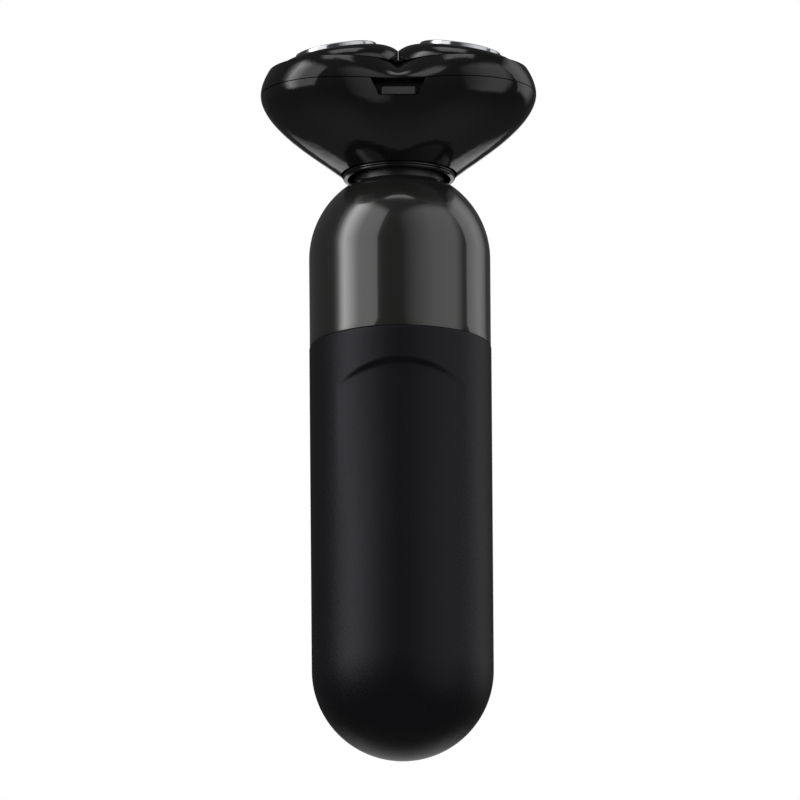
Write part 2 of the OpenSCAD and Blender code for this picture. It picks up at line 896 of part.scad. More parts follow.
module hinge_barrel(x0, x1) {
    disc_x(knuckle_r, x0, x1, hinge_y, hinge_z);
}

module head_bowl() {
    color("#101011")
        difference() {
            union() {
                difference() {
                    skin([for (i = [0:outline_rows]) bowl_ring(i / outline_rows)]);
                    skin([for (z = [bowl_z - past, bowl_floor_z]) bowl_in_ring(z),
                        for (i = [1:outline_rows])
                            bowl_in_ring(bowl_floor_z + i / outline_rows * (bowl_top + past - bowl_floor_z))]);
                }
                block([-notch_top_w / 2 - 1, -notch_back - 1, parting_z - notch_h - 1],
                    [notch_top_w / 2 + 1, -notch_back + notch_wall, bowl_top]);
            }
            block([-lobe_reach, -lobe_reach, bowl_top], [lobe_reach, lobe_reach, parting_z + past]);
            block([-lug_half - run_fit, hinge_y - bracket_reach - run_fit, hinge_z - bracket_drop - run_fit],
                [lug_half + run_fit, hinge_y + past, parting_z + past]);
            notch_cut();
        }
}

// The ring inside the bowl that carries the gimbal's pins and the gear plate
module head_frame() {
    color("#d9d6cc")
        difference() {
            union() {
                tube(frame_r, frame_in_r, plate_z - frame_h, plate_z);
                // The bosses are trimmed to a cone that stays inside the bowl
                intersection() {
                    for (s = [0, 180])
                        rotate(s) {
                            disc_y(gimbal_boss_r, gimbal_boss_y, gimbal_pin_end + 0.3, 0, pivot_z);
                            block([-1.4, gimbal_boss_y, pivot_z], [1.4, gimbal_pin_end + 0.3, plate_z]);
                        }
                    translate([0, 0, bowl_floor_z])
                        cylinder(r1 = bowl_bore_r, r2 = bowl_in_r(270, plate_z), h = plate_z - bowl_floor_z);
                }
            }
            for (t = waist_angles)
                rotate(t)
                    translate([post_circle, 0, 0])
                        disc(screw_r, plate_z - frame_h - past, plate_z + past);
            disc_y(gimbal_pin_r + run_fit, -gimbal_pin_end - 0.1, gimbal_pin_end + 0.1, 0, pivot_z);
        }
}

// The two outer knuckles of the head's hinge, set into the bowl's rim
module hinge_bracket() {
    color("#101011")
        difference() {
            for (x = [-lug_half, knuckle_half + knuckle_gap]) {
                wide = lug_half - knuckle_half - knuckle_gap;
                hinge_barrel(x, x + wide);
                block([x, hinge_y - bracket_reach, hinge_z - bracket_drop], [x + wide, hinge_y, bowl_top]);
            }
            disc_x(hinge_pin_r, -lug_half - past, lug_half + past, hinge_y, hinge_z);
        }
}

// The notch: wide at the parting line and narrower below, with a slot for the catch's stem
module notch_cut() {
    low = parting_z - notch_h;
    translate([0, -notch_back, 0])
        rotate([90, 0, 0])
            linear_extrude(6)
                polygon([[-notch_low_w / 2, low], [notch_low_w / 2, low],
                    [notch_top_w / 2, parting_z + past], [-notch_top_w / 2, parting_z + past]]);
    block([-2.4, -notch_back - past, low + 0.3], [2.4, -notch_back + 3, low + catch_tab_h + 0.3]);
}

module gear_plate() {
    color("#d9d6cc")
        difference() {
            union() {
                bowl_plate(plate_z, plate_z + gear_plate_t);
                at_angles(waist_angles, post_circle)
                    disc(post_r, plate_z, gear_cover_z);
            }
            disc(hub_r + run_fit, plate_z - past, gear_z);
            at_angles(lobe_angles, drive_circle)
                disc(spindle_r, plate_z + 0.2, gear_z);
            at_angles(waist_angles, post_circle)
                disc(screw_r + slide_fit, plate_z - past, gear_cover_z + past);
        }
}

module gear_cover() {
    color("#1d1d1f")
        difference() {
            bowl_plate(gear_cover_z, gear_cover_top);
            disc(1.5 + run_fit, gear_cover_z - past, gear_cover_top - 0.3);
            at_angles(lobe_angles, drive_circle)
                disc(drive_post_r + slide_fit, gear_cover_z - past, gear_cover_top + past);
            at_angles(waist_angles, post_circle)
                disc(screw_r + slide_fit, gear_cover_z - past, gear_cover_top + past);
        }
}

module plate_screws() {
    color("#9a9a9a")
        at_angles(waist_angles, post_circle)
            difference() {
                union() {
                    disc(screw_r, plate_z - frame_h + 0.1, gear_cover_top + 0.1);
                    disc(screw_head_r, gear_cover_top, gear_cover_top + 1.1);
                }
                disc(0.7, gear_cover_top + 0.5, gear_cover_top + 2, $fn = 6);
            }
}

module gear_spindles() {
    color("#c6c9cd")
        at_angles(lobe_angles, drive_circle)
            disc(spindle_r, plate_z + 0.2, gear_cover_top - 0.4);
}

module spur_gear(teeth, z0, z1) {
    translate([0, 0, z0])
        linear_extrude(z1 - z0)
            polygon(gear_points(teeth));
}

module centre_gear() {
    color("#e9e4d6")
        difference() {
            union() {
                spur_gear(centre_teeth, gear_z, gear_z + gear_t);
                disc(hub_r, hub_z, gear_z);
                disc(1.5, gear_z + gear_t - 0.1, gear_cover_top - 0.5);
            }
            disc(socket_r, hub_z - past, pivot_z + ball_r + 0.5);
            block([-hub_r - past, -ball_pin_r - 0.4, hub_z - past],
                [hub_r + past, ball_pin_r + 0.4, pivot_z + ball_pin_r + 0.9]);
        }
}

// A drive gear with its upright post and its ball-ended tip
module drive_gear(i) {
    t = lobe_angles[i];
    color("#e9e4d6")
        rotate(t)
            translate([drive_circle, 0, 0])
                difference() {
                    union() {
                        rotate(mesh_turn(t) - t)
                            spur_gear(drive_teeth, gear_z, gear_z + gear_t);
                        disc(2.6, gear_z - 0.3, gear_z + 0.1);
                        disc(drive_post_r, gear_z, tip_z - 3);
                        disc(1.1, tip_z - 3.1, tip_z);
                        translate([0, 0, tip_z]) {
                            sphere(r = tip_r, $fn = 48);
                            disc_x(tip_pin_r, -tip_pin_half, tip_pin_half, 0, 0, $fn = 24);
                        }
                    }
                    disc(spindle_r + run_fit, gear_z - past, gear_cover_top);
                }
}

module drive_gear_1() { drive_gear(0); }
module drive_gear_2() { drive_gear(1); }
module drive_gear_3() { drive_gear(2); }

// A push tab in the notch, a stem through the bowl, and a finger that reaches up to the cover
module release_catch() {
    low = parting_z - notch_h + 0.2;
    top = low + catch_tab_h;
    tab_half = notch_low_w / 2 - 0.3;
    color("#3a3a3d") {
        intersection() {
            translate([0, 0, low])
                linear_extrude(catch_tab_h)
                    polygon([[-tab_half, -notch_back - 0.9], [tab_half, -notch_back - 0.9],
                        [tab_half - 0.6, -waist_reach + 0.2], [-tab_half + 0.6, -waist_reach + 0.2]]);
            block([-tab_half, -waist_reach, low], [tab_half, 0, top]);
        }
        block([-2.2, -notch_back - 1, low + 0.2], [2.2, -finger_y + 0.1, top - 0.1]);
        block([-3, -finger_y, low], [3, -finger_y + finger_t, finger_top]);
        block([-3, -finger_y - 0.15, finger_top - 0.3], [3, -finger_y + 0.1, finger_top]);
    }
}

module hinge_pin() {
    color("#c6c9cd")
        disc_x(hinge_pin_r, -lug_half, lug_half, hinge_y, hinge_z);
}

// ---- Head cover and cutters ----

module head_cover() {
    color("#121213") {
        difference() {
            union() {
                // Down the inside of the wall, then up the outside of it
                skin([for (u = [1:-1 / outline_rows:0]) cover_ring(u, head_wall),
                    for (i = [0:outline_rows]) cover_ring(i / outline_rows, 0)], loop = true);
                // Ledge under the nose of the catch's finger
                block([-3, -waist_reach + 0.9, cover_z + 0.1], [3, -finger_y - 0.1, finger_top - 0.4]);
            }
            block([-knuckle_half - run_fit, hinge_y - lug_reach - run_fit, cover_z - past],
                [knuckle_half + run_fit, hinge_y + past, hinge_z + lug_rise + run_fit]);
            block([-lug_half - knuckle_gap, hinge_y - knuckle_r - 0.4, cover_z - past],
                [lug_half + knuckle_gap, hinge_y + past, hinge_z + knuckle_r + 0.4]);
        }
        // The plate with the cutters' three seats, pressed into the top of the wall
        translate([0, 0, cover_top - head_wall])
            linear_extrude(head_wall)
                difference() {
                    polygon([for (t = angles)
                        (cover_r(t, 1) - head_wall - run_fit) * [cos(t), sin(t)]]);
                    for (t = lobe_angles)
                        rotate(t)
                            translate([seat_circle, 0])
                                circle(r = seat_r);
                }
    }
}

// The middle knuckle of the head's hinge, set into the cover's rim
module cover_lug() {
    color("#121213")
        difference() {
            union() {
                hinge_barrel(-knuckle_half, knuckle_half);
                block([-knuckle_half, hinge_y - lug_reach, cover_z], [knuckle_half, hinge_y, hinge_z + lug_rise]);
            }
            disc_x(hinge_pin_r + run_fit, -knuckle_half - past, knuckle_half + past, hinge_y, hinge_z);
        }
}

// One cutter's dome: an upright wall, a bevelled shoulder and a shallow cone up to the cup
module bezel_dome() {
    shoulder_h = 3;
    disc(bezel_lobe_r, -20, -cup_proud - shoulder_h);
    translate([0, 0, -cup_proud - shoulder_h])
        cylinder(r1 = bezel_lobe_r, r2 = bezel_lobe_r - 1.3, h = shoulder_h - 1.2);
    translate([0, 0, -cup_proud - 1.2])
        cylinder(r1 = bezel_lobe_r - 1.3, r2 = foil_r + 0.5, h = 1.3);
}

// The third of the head that belongs to one cutter, a hair short of its neighbours
module sector(i) {
    reach = 2 * lobe_reach;
    slit = 0.12;
    intersection() {
        union() children();
        rotate(lobe_angles[i])
            translate([0, 0, cover_top + 0.05])
                linear_extrude(cutter_rise)
                    translate([slit, 0])
                        polygon([[0, 0], [reach * cos(60), -reach * sin(60)], [reach, 0],
                            [reach * cos(60), reach * sin(60)]]);
    }
}

module cutter_bezel() {
    color("#0f0f10")
        difference() {
            union() {
                for (i = [0:2])
                    sector(i) {
                        at_cutter(i)
                            bezel_dome();
                    }
                disc(4.2, cover_top + 0.5, cover_top + 3.2);
                at_angles(lobe_angles, seat_circle)
                    disc(seat_r - 0.2, cover_top - 1.6, cover_top + 0.2);
            }
            for (i = [0:2])
                at_cutter(i) {
                    disc(foil_r + slide_fit, -14, past);
                    disc(recess_r, -14, -bezel_lip);
                }
        }
}

module retainer_rings() {
    color("#bdbdb8")
        for (i = [0:2])
            at_cutter(i)
                tube(recess_r - run_fit, cutter_hub_r + 1.4, retainer_h - retainer_t, retainer_h);
}

// A wave spring: a flat wire ring that rises and falls three times between flange and retainer
module wave_spring() {
    steps = 48;
    wire_t = 0.25;
    r0 = foil_r + 0.1;
    r1 = cup_flange_r;
    low = retainer_h + 0.02;
    swing = (-cup_depth - 0.02 - wire_t - low) / 2;
    function level(a) = low + swing * (1 + cos(3 * a));
    points = [for (i = [0:steps - 1]) let (a = i * 360 / steps, h = level(a)) each [
        [r0 * cos(a), r0 * sin(a), h], [r1 * cos(a), r1 * sin(a), h],
        [r1 * cos(a), r1 * sin(a), h + wire_t], [r0 * cos(a), r0 * sin(a), h + wire_t]]];
    faces = [for (i = [0:steps - 1], k = [0:3]) let (
            a = 4 * i + k,
            b = 4 * i + (k + 1) % 4,
            c = (a + 4) % (4 * steps),
            d = (b + 4) % (4 * steps))
        each [[a, b, d], [a, d, c]]];
    polyhedron(points, faces);
}

module cutter_springs() {
    color("#c6c9cd")
        for (i = [0:2])
            at_cutter(i)
                wave_spring();
}

// A slotted chrome cup: a ring-shaped shaving track with a raised middle and a flange below
module foil_cup(i) {
    color("#d4d6d9")
        at_cutter(i)
            difference() {
                rotate_extrude()
                    polygon([[0, -cup_wall - 0.3], [track_in_r - 0.6, -cup_wall - 0.3],
                        [track_in_r - 0.2, -cup_wall], [foil_r - cup_wall, -cup_wall],
                        [foil_r - cup_wall, -cup_depth], [cup_flange_r, -cup_depth],
                        [cup_flange_r, -cup_depth + 0.4], [foil_r, -cup_depth + 0.4],
                        [foil_r, -0.25], [foil_r - 0.25, 0], [track_in_r, 0],
                        [track_in_r - 0.3, -0.3], [track_in_r - 0.9, -0.3],
                        [track_in_r - 1.3, 0.1], [0, 0.25]]);
                for (k = [0:foil_slots - 1])
                    rotate((k + 0.5) * 360 / foil_slots)
                        translate([track_in_r + 0.4, -0.14, -2])
                            cube([foil_r - cup_wall - track_in_r - 0.6, 0.28, 3]);
                for (k = [0:2])
                    rotate(k * 120 + 40)
                        translate([foil_r - 0.25, -0.4, -0.9])
                            cube([1, 0.8, 1.2]);
            }
}

module foil_cup_1() { foil_cup(0); }
module foil_cup_2() { foil_cup(1); }
module foil_cup_3() { foil_cup(2); }

// The plastic carrier of an inner cutter, with a deep socket for the drive gear's tip
module inner_cutter(i) {
    color("#e2e0d8")
        at_cutter(i)
            difference() {
                union() {
                    disc(blade_r - 0.2, inner_disc_h, inner_disc_h + 0.8);
                    disc(cutter_hub_r, tip_h - 1, inner_disc_h + 0.1);
                    disc(2, inner_disc_h + 0.7, -1.4);
                }
                disc(tip_socket_r, tip_h - 1 - past, tip_h + tip_r + cutter_float + 0.3);
                for (turn = [0, 90])
                    rotate(turn)
                        block([-cutter_hub_r - past, -tip_pin_r - 0.35, tip_h - 1 - past],
                            [cutter_hub_r + past, tip_pin_r + 0.35, tip_h + cutter_float + 1.4]);
            }
}

module inner_cutter_1() { inner_cutter(0); }
module inner_cutter_2() { inner_cutter(1); }
module inner_cutter_3() { inner_cutter(2); }

// Steel ring with upright blades that lean into the cut
module cutter_blades(i) {
    low = inner_disc_h + 0.8;
    color("#b4b8bd")
        at_cutter(i) {
            tube(blade_r - 0.4, track_in_r - 0.4, low, low + 0.3);
            for (k = [0:blades - 1])
                rotate(k * 360 / blades)
                    translate([track_in_r + 0.2, 0, low + 0.15])
                        rotate([14, 0, 0])
                            cube([blade_r - track_in_r - 0.6, 0.35, -cup_wall - 0.25 - low]);
        }
}

module cutter_blades_1() { cutter_blades(0); }
module cutter_blades_2() { cutter_blades(1); }
module cutter_blades_3() { cutter_blades(2); }

grip_sleeve();
upper_shell();
case_seal();
chassis_front();
chassis_rear();
chassis_screws();
battery_cell();
battery_tabs();
circuit_board();
board_chips();
tact_switch();
usb_port();
port_seal();
light_ring();
power_button();
switch_plunger();
motor_can();
motor_magnets();
motor_end_cap();
motor_bushings();
motor_leads();
motor_plate();
motor_screws();
motor_shaft();
motor_armature();
motor_windings();
drive_coupler();
neck_stem();
neck_nut();
shaft_seal();
gimbal_ring();
gimbal_pins();
neck_collar();
head_bowl();
head_frame();
hinge_bracket();
gear_plate();
gear_cover();
plate_screws();
gear_spindles();
centre_gear();
drive_gear_1();
drive_gear_2();
drive_gear_3();
release_catch();
hinge_pin();
head_cover();
cover_lug();
cutter_bezel();
retainer_rings();
cutter_springs();
foil_cup_1();
foil_cup_2();
foil_cup_3();
inner_cutter_1();
inner_cutter_2();
inner_cutter_3();
cutter_blades_1();
cutter_blades_2();
cutter_blades_3();
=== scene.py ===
# %% [markdown]
# # A rotary electric shaver
# The shaver is a soft-touch capsule grip, a glossy upper shell, a short neck on a gimbal and
# a black three-lobed head with three slotted chrome cutters. The CAD frame gives every
# size and every moving body. This script gives the surfaces their smooth shapes and their
# finishes. Lengths are written in millimetres and turned into metres when a mesh is made.

# %% Load the frame
import json
from math import acos, asin, cos, degrees, pi, radians, sin, sqrt

import bmesh
import bpy
from mathutils import Matrix, Vector


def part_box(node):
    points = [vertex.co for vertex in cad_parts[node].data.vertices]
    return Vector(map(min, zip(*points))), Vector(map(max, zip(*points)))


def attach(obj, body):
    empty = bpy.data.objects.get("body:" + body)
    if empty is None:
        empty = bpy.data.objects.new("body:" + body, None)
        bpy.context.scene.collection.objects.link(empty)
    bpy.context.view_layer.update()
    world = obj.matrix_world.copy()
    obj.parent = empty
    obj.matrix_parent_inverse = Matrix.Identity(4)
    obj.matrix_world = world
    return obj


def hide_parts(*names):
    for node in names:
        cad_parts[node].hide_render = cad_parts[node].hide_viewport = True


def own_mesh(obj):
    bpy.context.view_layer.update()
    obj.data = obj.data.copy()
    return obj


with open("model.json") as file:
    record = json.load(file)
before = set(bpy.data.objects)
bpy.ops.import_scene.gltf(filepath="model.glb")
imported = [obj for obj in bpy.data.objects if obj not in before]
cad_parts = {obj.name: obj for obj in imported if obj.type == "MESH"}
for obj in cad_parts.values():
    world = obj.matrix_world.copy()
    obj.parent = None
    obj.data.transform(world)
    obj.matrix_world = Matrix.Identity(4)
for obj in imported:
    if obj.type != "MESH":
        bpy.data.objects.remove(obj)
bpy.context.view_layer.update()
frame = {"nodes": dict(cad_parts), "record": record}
MM = 0.001


def span(node):
    """Lowest and highest corner of a CAD node, in millimetres."""
    low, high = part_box(node)
    return Vector(low) / MM, Vector(high) / MM


# %% [markdown]
# ## Node maths as expressions
# Materials and the head's outline both need long sums. Written node by node they are hard
# to read, so one small class wraps an output socket and turns Python's operators into
# Math nodes. The same class serves materials, lights and geometry trees.

# %% Sockets that can be added and multiplied
class Value:
    """An output socket of a node tree that takes part in Python expressions."""

    def __init__(self, tree, socket):
        self.tree = tree
        self.socket = socket

    def math(self, operation, *others):
        return self.tree.node("ShaderNodeMath", {"operation": operation},
                              dict(enumerate((self,) + others)))

    def __add__(self, other):
        return self.math("ADD", other)

    def __sub__(self, other):
        return self.math("SUBTRACT", other)

    def __mul__(self, other):
        return self.math("MULTIPLY", other)

    def __truediv__(self, other):
        return self.math("DIVIDE", other)

    def __pow__(self, other):
        return self.math("POWER", other)

    def __rsub__(self, other):
        return self.math("MULTIPLY_ADD", -1.0, float(other))

    __radd__ = __add__
    __rmul__ = __mul__

    def over(self, limit):
        return self.math("GREATER_THAN", limit)

    def out(self, name):
        """Another output of the node this value comes from."""
        return Value(self.tree, self.socket.node.outputs[name])


class Tree:
    """A node tree in which one call makes a node: its type, its settings, its sockets."""

    def __init__(self, tree):
        self.tree = tree

    def node(self, kind, settings=None, sockets=None, out=0):
        made = self.tree.nodes.new(kind)
        for name, value in (settings or {}).items():
            setattr(made, name, value)
        for name, value in (sockets or {}).items():
            if isinstance(value, Value):
                self.tree.links.new(value.socket, made.inputs[name])
            else:
                made.inputs[name].default_value = value
        return Value(self, made.outputs[out]) if len(made.outputs) else None


# %% [markdown]
# ## Camera, light and floor
# The camera looks up at the shaver from a little below. A very long lens keeps parallel edges
# parallel, and an orthographic camera is the simplest way to get that.
# The floor is pale and far underneath, where it cannot hide the view from below. Glossy
# black shows nothing but what it reflects, so the studio is dark with a few large soft
# panels standing where their reflections should run down the shell. Each panel dims towards
# its edges, so its reflection has a soft side. The low ones behind the shaver make the pale
# wedges beside the neck.

# %% Camera
scene = bpy.context.scene
scene.view_settings.view_transform = "Standard"
scene.view_settings.look = "None"
CAMERA_TILT = radians(15)
CAMERA_ROLL = radians(-0.43)
CAMERA_DISTANCE = 1.5
FRAME_WIDTH = 0.17036
aim = Vector((-0.00016, 0, 0.0790))
sight = Vector((0, cos(CAMERA_TILT), sin(CAMERA_TILT)))
camera = bpy.data.objects.new("camera", bpy.data.cameras.new("camera"))
scene.collection.objects.link(camera)
camera.data.type = "ORTHO"
camera.data.ortho_scale = FRAME_WIDTH
camera.data.clip_end = 20
camera.matrix_world = (Matrix.Translation(aim - sight * CAMERA_DISTANCE)
                       @ sight.to_track_quat("-Z", "Y").to_matrix().to_4x4()
                       @ Matrix.Rotation(CAMERA_ROLL, 4, "Z"))
scene.camera = camera
print("camera at height", round(camera.location.z, 3), "m")

# %% Soft panels
world = bpy.data.worlds.new("studio")
scene.world = world
world.use_nodes = True
world_nodes = world.node_tree.nodes
world_links = world.node_tree.links
dim = world_nodes["Background"]
dim.inputs["Color"].default_value = (1, 1, 1, 1)
dim.inputs["Strength"].default_value = 0.06
bright = world_nodes.new("ShaderNodeBackground")
bright.inputs["Color"].default_value = (1, 1, 1, 1)
path = world_nodes.new("ShaderNodeLightPath")
mix = world_nodes.new("ShaderNodeMixShader")
world_links.new(path.outputs["Is Camera Ray"], mix.inputs["Fac"])
world_links.new(dim.outputs["Background"], mix.inputs[1])
world_links.new(bright.outputs["Background"], mix.inputs[2])
world_links.new(mix.outputs["Shader"], world_nodes["World Output"].inputs["Surface"])


PANEL_AIM = Vector((0, 0, 0.1))
END_FADE = 8.0


def panel(name, azimuth, elevation, width, height, radiance, fade=(0.15, 0.15), distance=0.9):
    """A soft light facing the shaver. Azimuth 0 is the camera's side. Its two sides fade out."""
    a, e = radians(azimuth), radians(elevation)
    away = Vector((sin(a) * cos(e), -cos(a) * cos(e), sin(e)))
    light = bpy.data.lights.new(name, "AREA")
    light.shape = "RECTANGLE"
    light.size, light.size_y, light.energy = width, height, radiance * pi * width * height
    light.use_nodes = True
    tree = Tree(light.node_tree)
    spot = tree.node("ShaderNodeNewGeometry", out="Parametric")
    across = tree.node("ShaderNodeSeparateXYZ", {}, {"Vector": spot})
    low = (across / fade[0]).math("MINIMUM", 1.0)
    high = ((1 - across) / fade[1]).math("MINIMUM", 1.0)
    along = across.out("Y")
    ends = ((along * END_FADE).math("MINIMUM", 1.0)
            * ((1 - along) * END_FADE).math("MINIMUM", 1.0))
    light.node_tree.links.new((low * high * ends).socket,
                              light.node_tree.nodes["Emission"].inputs["Strength"])
    lamp = bpy.data.objects.new(name, light)
    lamp.matrix_world = (Matrix.Translation(PANEL_AIM + away * distance)
                         @ away.to_track_quat("Z", "Y").to_matrix().to_4x4())
    lamp.visible_camera = False
    scene.collection.objects.link(lamp)


panel("left_key", -70, 24, 0.50, 1.5, 3.0, (0.35, 0.65))
panel("left_fill", -60, 22, 1.10, 1.5, 1.25, (0.3, 0.03))
panel("right_panel", 46, 12, 1.60, 2.0, 0.85, (0.5, 0.2))
panel("right_back_panel", 118, 20, 0.80, 1.2, 0.9, (0.05, 0.5))
panel("back_panel", 180, 0, 0.34, 0.5, 1.0)
panel("low_back_panel", 180, -26, 0.9, 0.42, 1.0)
panel("top_panel", 0, 85, 0.5, 0.5, 1.5)

# %% Floor
# Far below, so that little of its light comes back up to the head
floor_mesh = bpy.data.meshes.new("floor")
FLOOR_Z, FLOOR_HALF = -1.6, 12
floor_mesh.from_pydata([(x, y, FLOOR_Z) for x, y in
                        ((-FLOOR_HALF, -FLOOR_HALF), (FLOOR_HALF, -FLOOR_HALF),
                         (FLOOR_HALF, FLOOR_HALF), (-FLOOR_HALF, FLOOR_HALF))],
                       [], [(0, 1, 2, 3)])
floor = bpy.data.objects.new("floor", floor_mesh)
scene.collection.objects.link(floor)

# %% [markdown]
# ## Finishes
# A real surface is never one flat colour. Each finish here is a Principled shader with a
# slow drift of tone, a grain at the size the material really has, and a roughness that
# changes a little with handling. One function makes them all, so that each finish is a
# short list of numbers. Everything reads Object coordinates, because all pieces share the
# frame's origin and a pattern then keeps its true scale.

# %% The finish maker
def finish(name, colour, rough, drift=0.1, smudge=0.05, grain=0.3, bump=0.02, metal=0.0,
           coat=0.0, stretch=(1, 1, 1), tint=None, glow=None, ior=1.5, fleck=0.0,
           sheen_tint=(1, 1, 1)):
    """A material: colour and roughness that drift, and a fine bumpy grain (size in mm)."""
    material = bpy.data.materials.new(name)
    material.use_nodes = True
    tree = Tree(material.node_tree)
    shader = material.node_tree.nodes["Principled BSDF"]
    place = tree.node("ShaderNodeTexCoord", out="Object")
    place = tree.node("ShaderNodeMapping", {}, {"Vector": place, "Scale": stretch})
    slow = tree.node("ShaderNodeTexNoise", {},
                     {"Vector": place, "Scale": 90.0, "Detail": 3.0, "Roughness": 0.55})
    fine = tree.node("ShaderNodeTexNoise", {},
                     {"Vector": place, "Scale": 1 / (grain * MM), "Detail": 2.0})
    dark = [c * (1 - drift) for c in colour]
    light = tint or [min(1, c * (1 + drift)) for c in colour]
    blend = slow
    if fleck:
        cells = tree.node("ShaderNodeTexVoronoi", {}, {"Vector": place, "Scale": 1 / (grain * MM)},
                          out="Color")
        flake = tree.node("ShaderNodeSeparateColor", {}, {"Color": cells})
        blend = slow * (1 - fleck) + flake * fleck
    tone = tree.node("ShaderNodeMix", {"data_type": "RGBA"},
                     {0: blend, 6: (*dark, 1), 7: (*light, 1)}, out=2)
    wear = tree.node("ShaderNodeTexNoise", {}, {"Vector": place, "Scale": 35.0, "Detail": 5.0})
    sheen = rough - smudge / 2 + wear * smudge
    relief = tree.node("ShaderNodeBump", {}, {"Height": fine, "Strength": bump,
                                              "Distance": grain * MM})
    link = material.node_tree.links.new
    link(tone.socket, shader.inputs["Base Color"])
    link(sheen.socket, shader.inputs["Roughness"])
    link(relief.socket, shader.inputs["Normal"])
    shader.inputs["Metallic"].default_value = metal
    shader.inputs["Coat Weight"].default_value = coat
    shader.inputs["Coat Roughness"].default_value = 0.04
    shader.inputs["IOR"].default_value = ior
    shader.inputs["Specular Tint"].default_value = (*sheen_tint, 1)
    if glow:
        shader.inputs["Emission Color"].default_value = (*glow[:3], 1)
        shader.inputs["Emission Strength"].default_value = glow[3]
    return material


finishes = {
    "grip_rubber": finish("soft_touch", (0.0066, 0.0066, 0.0080), 0.42, 0.12, 0.06, 0.22, 0.22,
                          ior=1.3, sheen_tint=(0.90, 0.88, 1.0)),
    "gloss_dark": finish("gunmetal_lacquer", (0.030, 0.0285, 0.0275), 0.20, 0.15, 0.03, 0.05,
                         0.02, metal=0.35, coat=1.0, fleck=0.35),
    "gloss_black": finish("piano_black", (0.0085, 0.0085, 0.0090), 0.10, 0.2, 0.03, 2.2, 0.02),
    "black_plastic": finish("satin_black", (0.010, 0.010, 0.011), 0.34, 0.2, 0.06, 0.12, 0.12),
    "cutter_chrome": finish("cutter_chrome", (0.60, 0.61, 0.63), 0.12, 0.05, 0.07, 0.06, 0.04,
                            metal=1.0),
    "blade_steel": finish("ground_steel", (0.52, 0.54, 0.56), 0.24, 0.1, 0.1, 0.08, 0.12,
                          metal=1.0, stretch=(1, 1, 6)),
    "steel": finish("turned_steel", (0.46, 0.47, 0.49), 0.28, 0.12, 0.1, 0.12, 0.12,
                    metal=1.0, stretch=(1, 1, 5)),
    "bronze": finish("sintered_bronze", (0.47, 0.22, 0.07), 0.42, 0.2, 0.12, 0.15, 0.3,
                     metal=1.0),
    "copper": finish("enamelled_copper", (0.50, 0.15, 0.04), 0.30, 0.2, 0.1, 0.3, 0.25,
                     metal=1.0, coat=0.4),
    "magnet_grey": finish("ferrite", (0.07, 0.07, 0.075), 0.62, 0.25, 0.1, 0.2, 0.35),
    "board_green": finish("solder_mask", (0.010, 0.13, 0.035), 0.30, 0.25, 0.08, 0.6, 0.1,
                          coat=0.3),
    "cell_wrap": finish("cell_sleeve", (0.045, 0.20, 0.095), 0.32, 0.12, 0.08, 0.8, 0.06,
                        coat=0.2),
    "chassis_plastic": finish("chassis_plastic", (0.57, 0.57, 0.54), 0.48, 0.06, 0.08, 0.3,
                              0.12),
    "gear_plastic": finish("acetal", (0.80, 0.77, 0.68), 0.36, 0.05, 0.08, 0.35, 0.08),
    "light_guide": finish("light_guide", (0.72, 0.78, 0.85), 0.30, 0.05, 0.08, 0.4, 0.06,
                          coat=0.4, glow=(0.75, 0.88, 1.0, 0.25)),
    "seal_rubber": finish("seal_rubber", (0.035, 0.035, 0.035), 0.60, 0.2, 0.08, 0.2, 0.25),
    "wire_red": finish("lead_insulation", (0.27, 0.012, 0.008), 0.40, 0.2, 0.1, 0.3, 0.1),
}
# The camera sees most of the floor as evenly lit paper, while reflections see it as it is
CAMERA_WASH = 0.85
paper = finish("paper_floor", (0.80, 0.80, 0.79), 0.9, 0.02, 0.02, 3.0, 0.05)
tree = Tree(paper.node_tree)
seen = tree.node("ShaderNodeLightPath", out="Is Camera Ray")
wash = tree.node("ShaderNodeEmission", {}, {"Color": (0.80, 0.80, 0.79, 1)})
body = Value(tree, paper.node_tree.nodes["Principled BSDF"].outputs[0])
both = tree.node("ShaderNodeMixShader", {}, {0: seen * CAMERA_WASH, 1: body, 2: wash})
paper.node_tree.links.new(both.socket, paper.node_tree.nodes["Material Output"].inputs["Surface"])
floor_mesh.materials.append(paper)
for row in frame["record"]["subparts"]:
    holder = frame["nodes"][row["node"]]
    for place_in_node in holder.material_slots:
        place_in_node.material = finishes[row["material_slot"]]
print("finishes", len(finishes))

# %% [markdown]
# ## Mesh helpers
# Every finished piece is a plain mesh whose object stays at the origin. A piece is given
# as points in millimetres and faces. Edges that turn by more than a set angle stay crisp,
# and all others are shaded smooth.

# %% Turning points into a piece
CRISP = radians(38)


def make_piece(name, points, faces, slot, place=Matrix()):
    """A mesh object from points in millimetres, moved by a matrix that is also in mm."""
    mesh = bpy.data.meshes.new(name)
    mesh.from_pydata([(place @ Vector(p)) * MM for p in points], [], faces)
    mesh.validate()
    mesh.materials.append(finishes[slot])
    piece = bpy.data.objects.new(name, mesh)
    scene.collection.objects.link(piece)
    smooth(piece)
    return piece


def smooth(piece, crisp=CRISP):
    """Merges doubled points, points the faces outwards and keeps only the sharp edges."""
    work = bmesh.new()
    work.from_mesh(piece.data)
    bmesh.ops.remove_doubles(work, verts=work.verts, dist=1e-6)
    bmesh.ops.recalc_face_normals(work, faces=work.faces)
    work.to_mesh(piece.data)
    work.free()
    for face in piece.data.polygons:
        face.use_smooth = True
    piece.data.set_sharp_from_angle(angle=crisp)


def settle(piece):
    """Replaces the mesh by the result of the piece's modifiers, then removes them."""
    graph = bpy.context.evaluated_depsgraph_get()
    result = bpy.data.meshes.new_from_object(piece.evaluated_get(graph))
    piece.modifiers.clear()
    piece.data = result


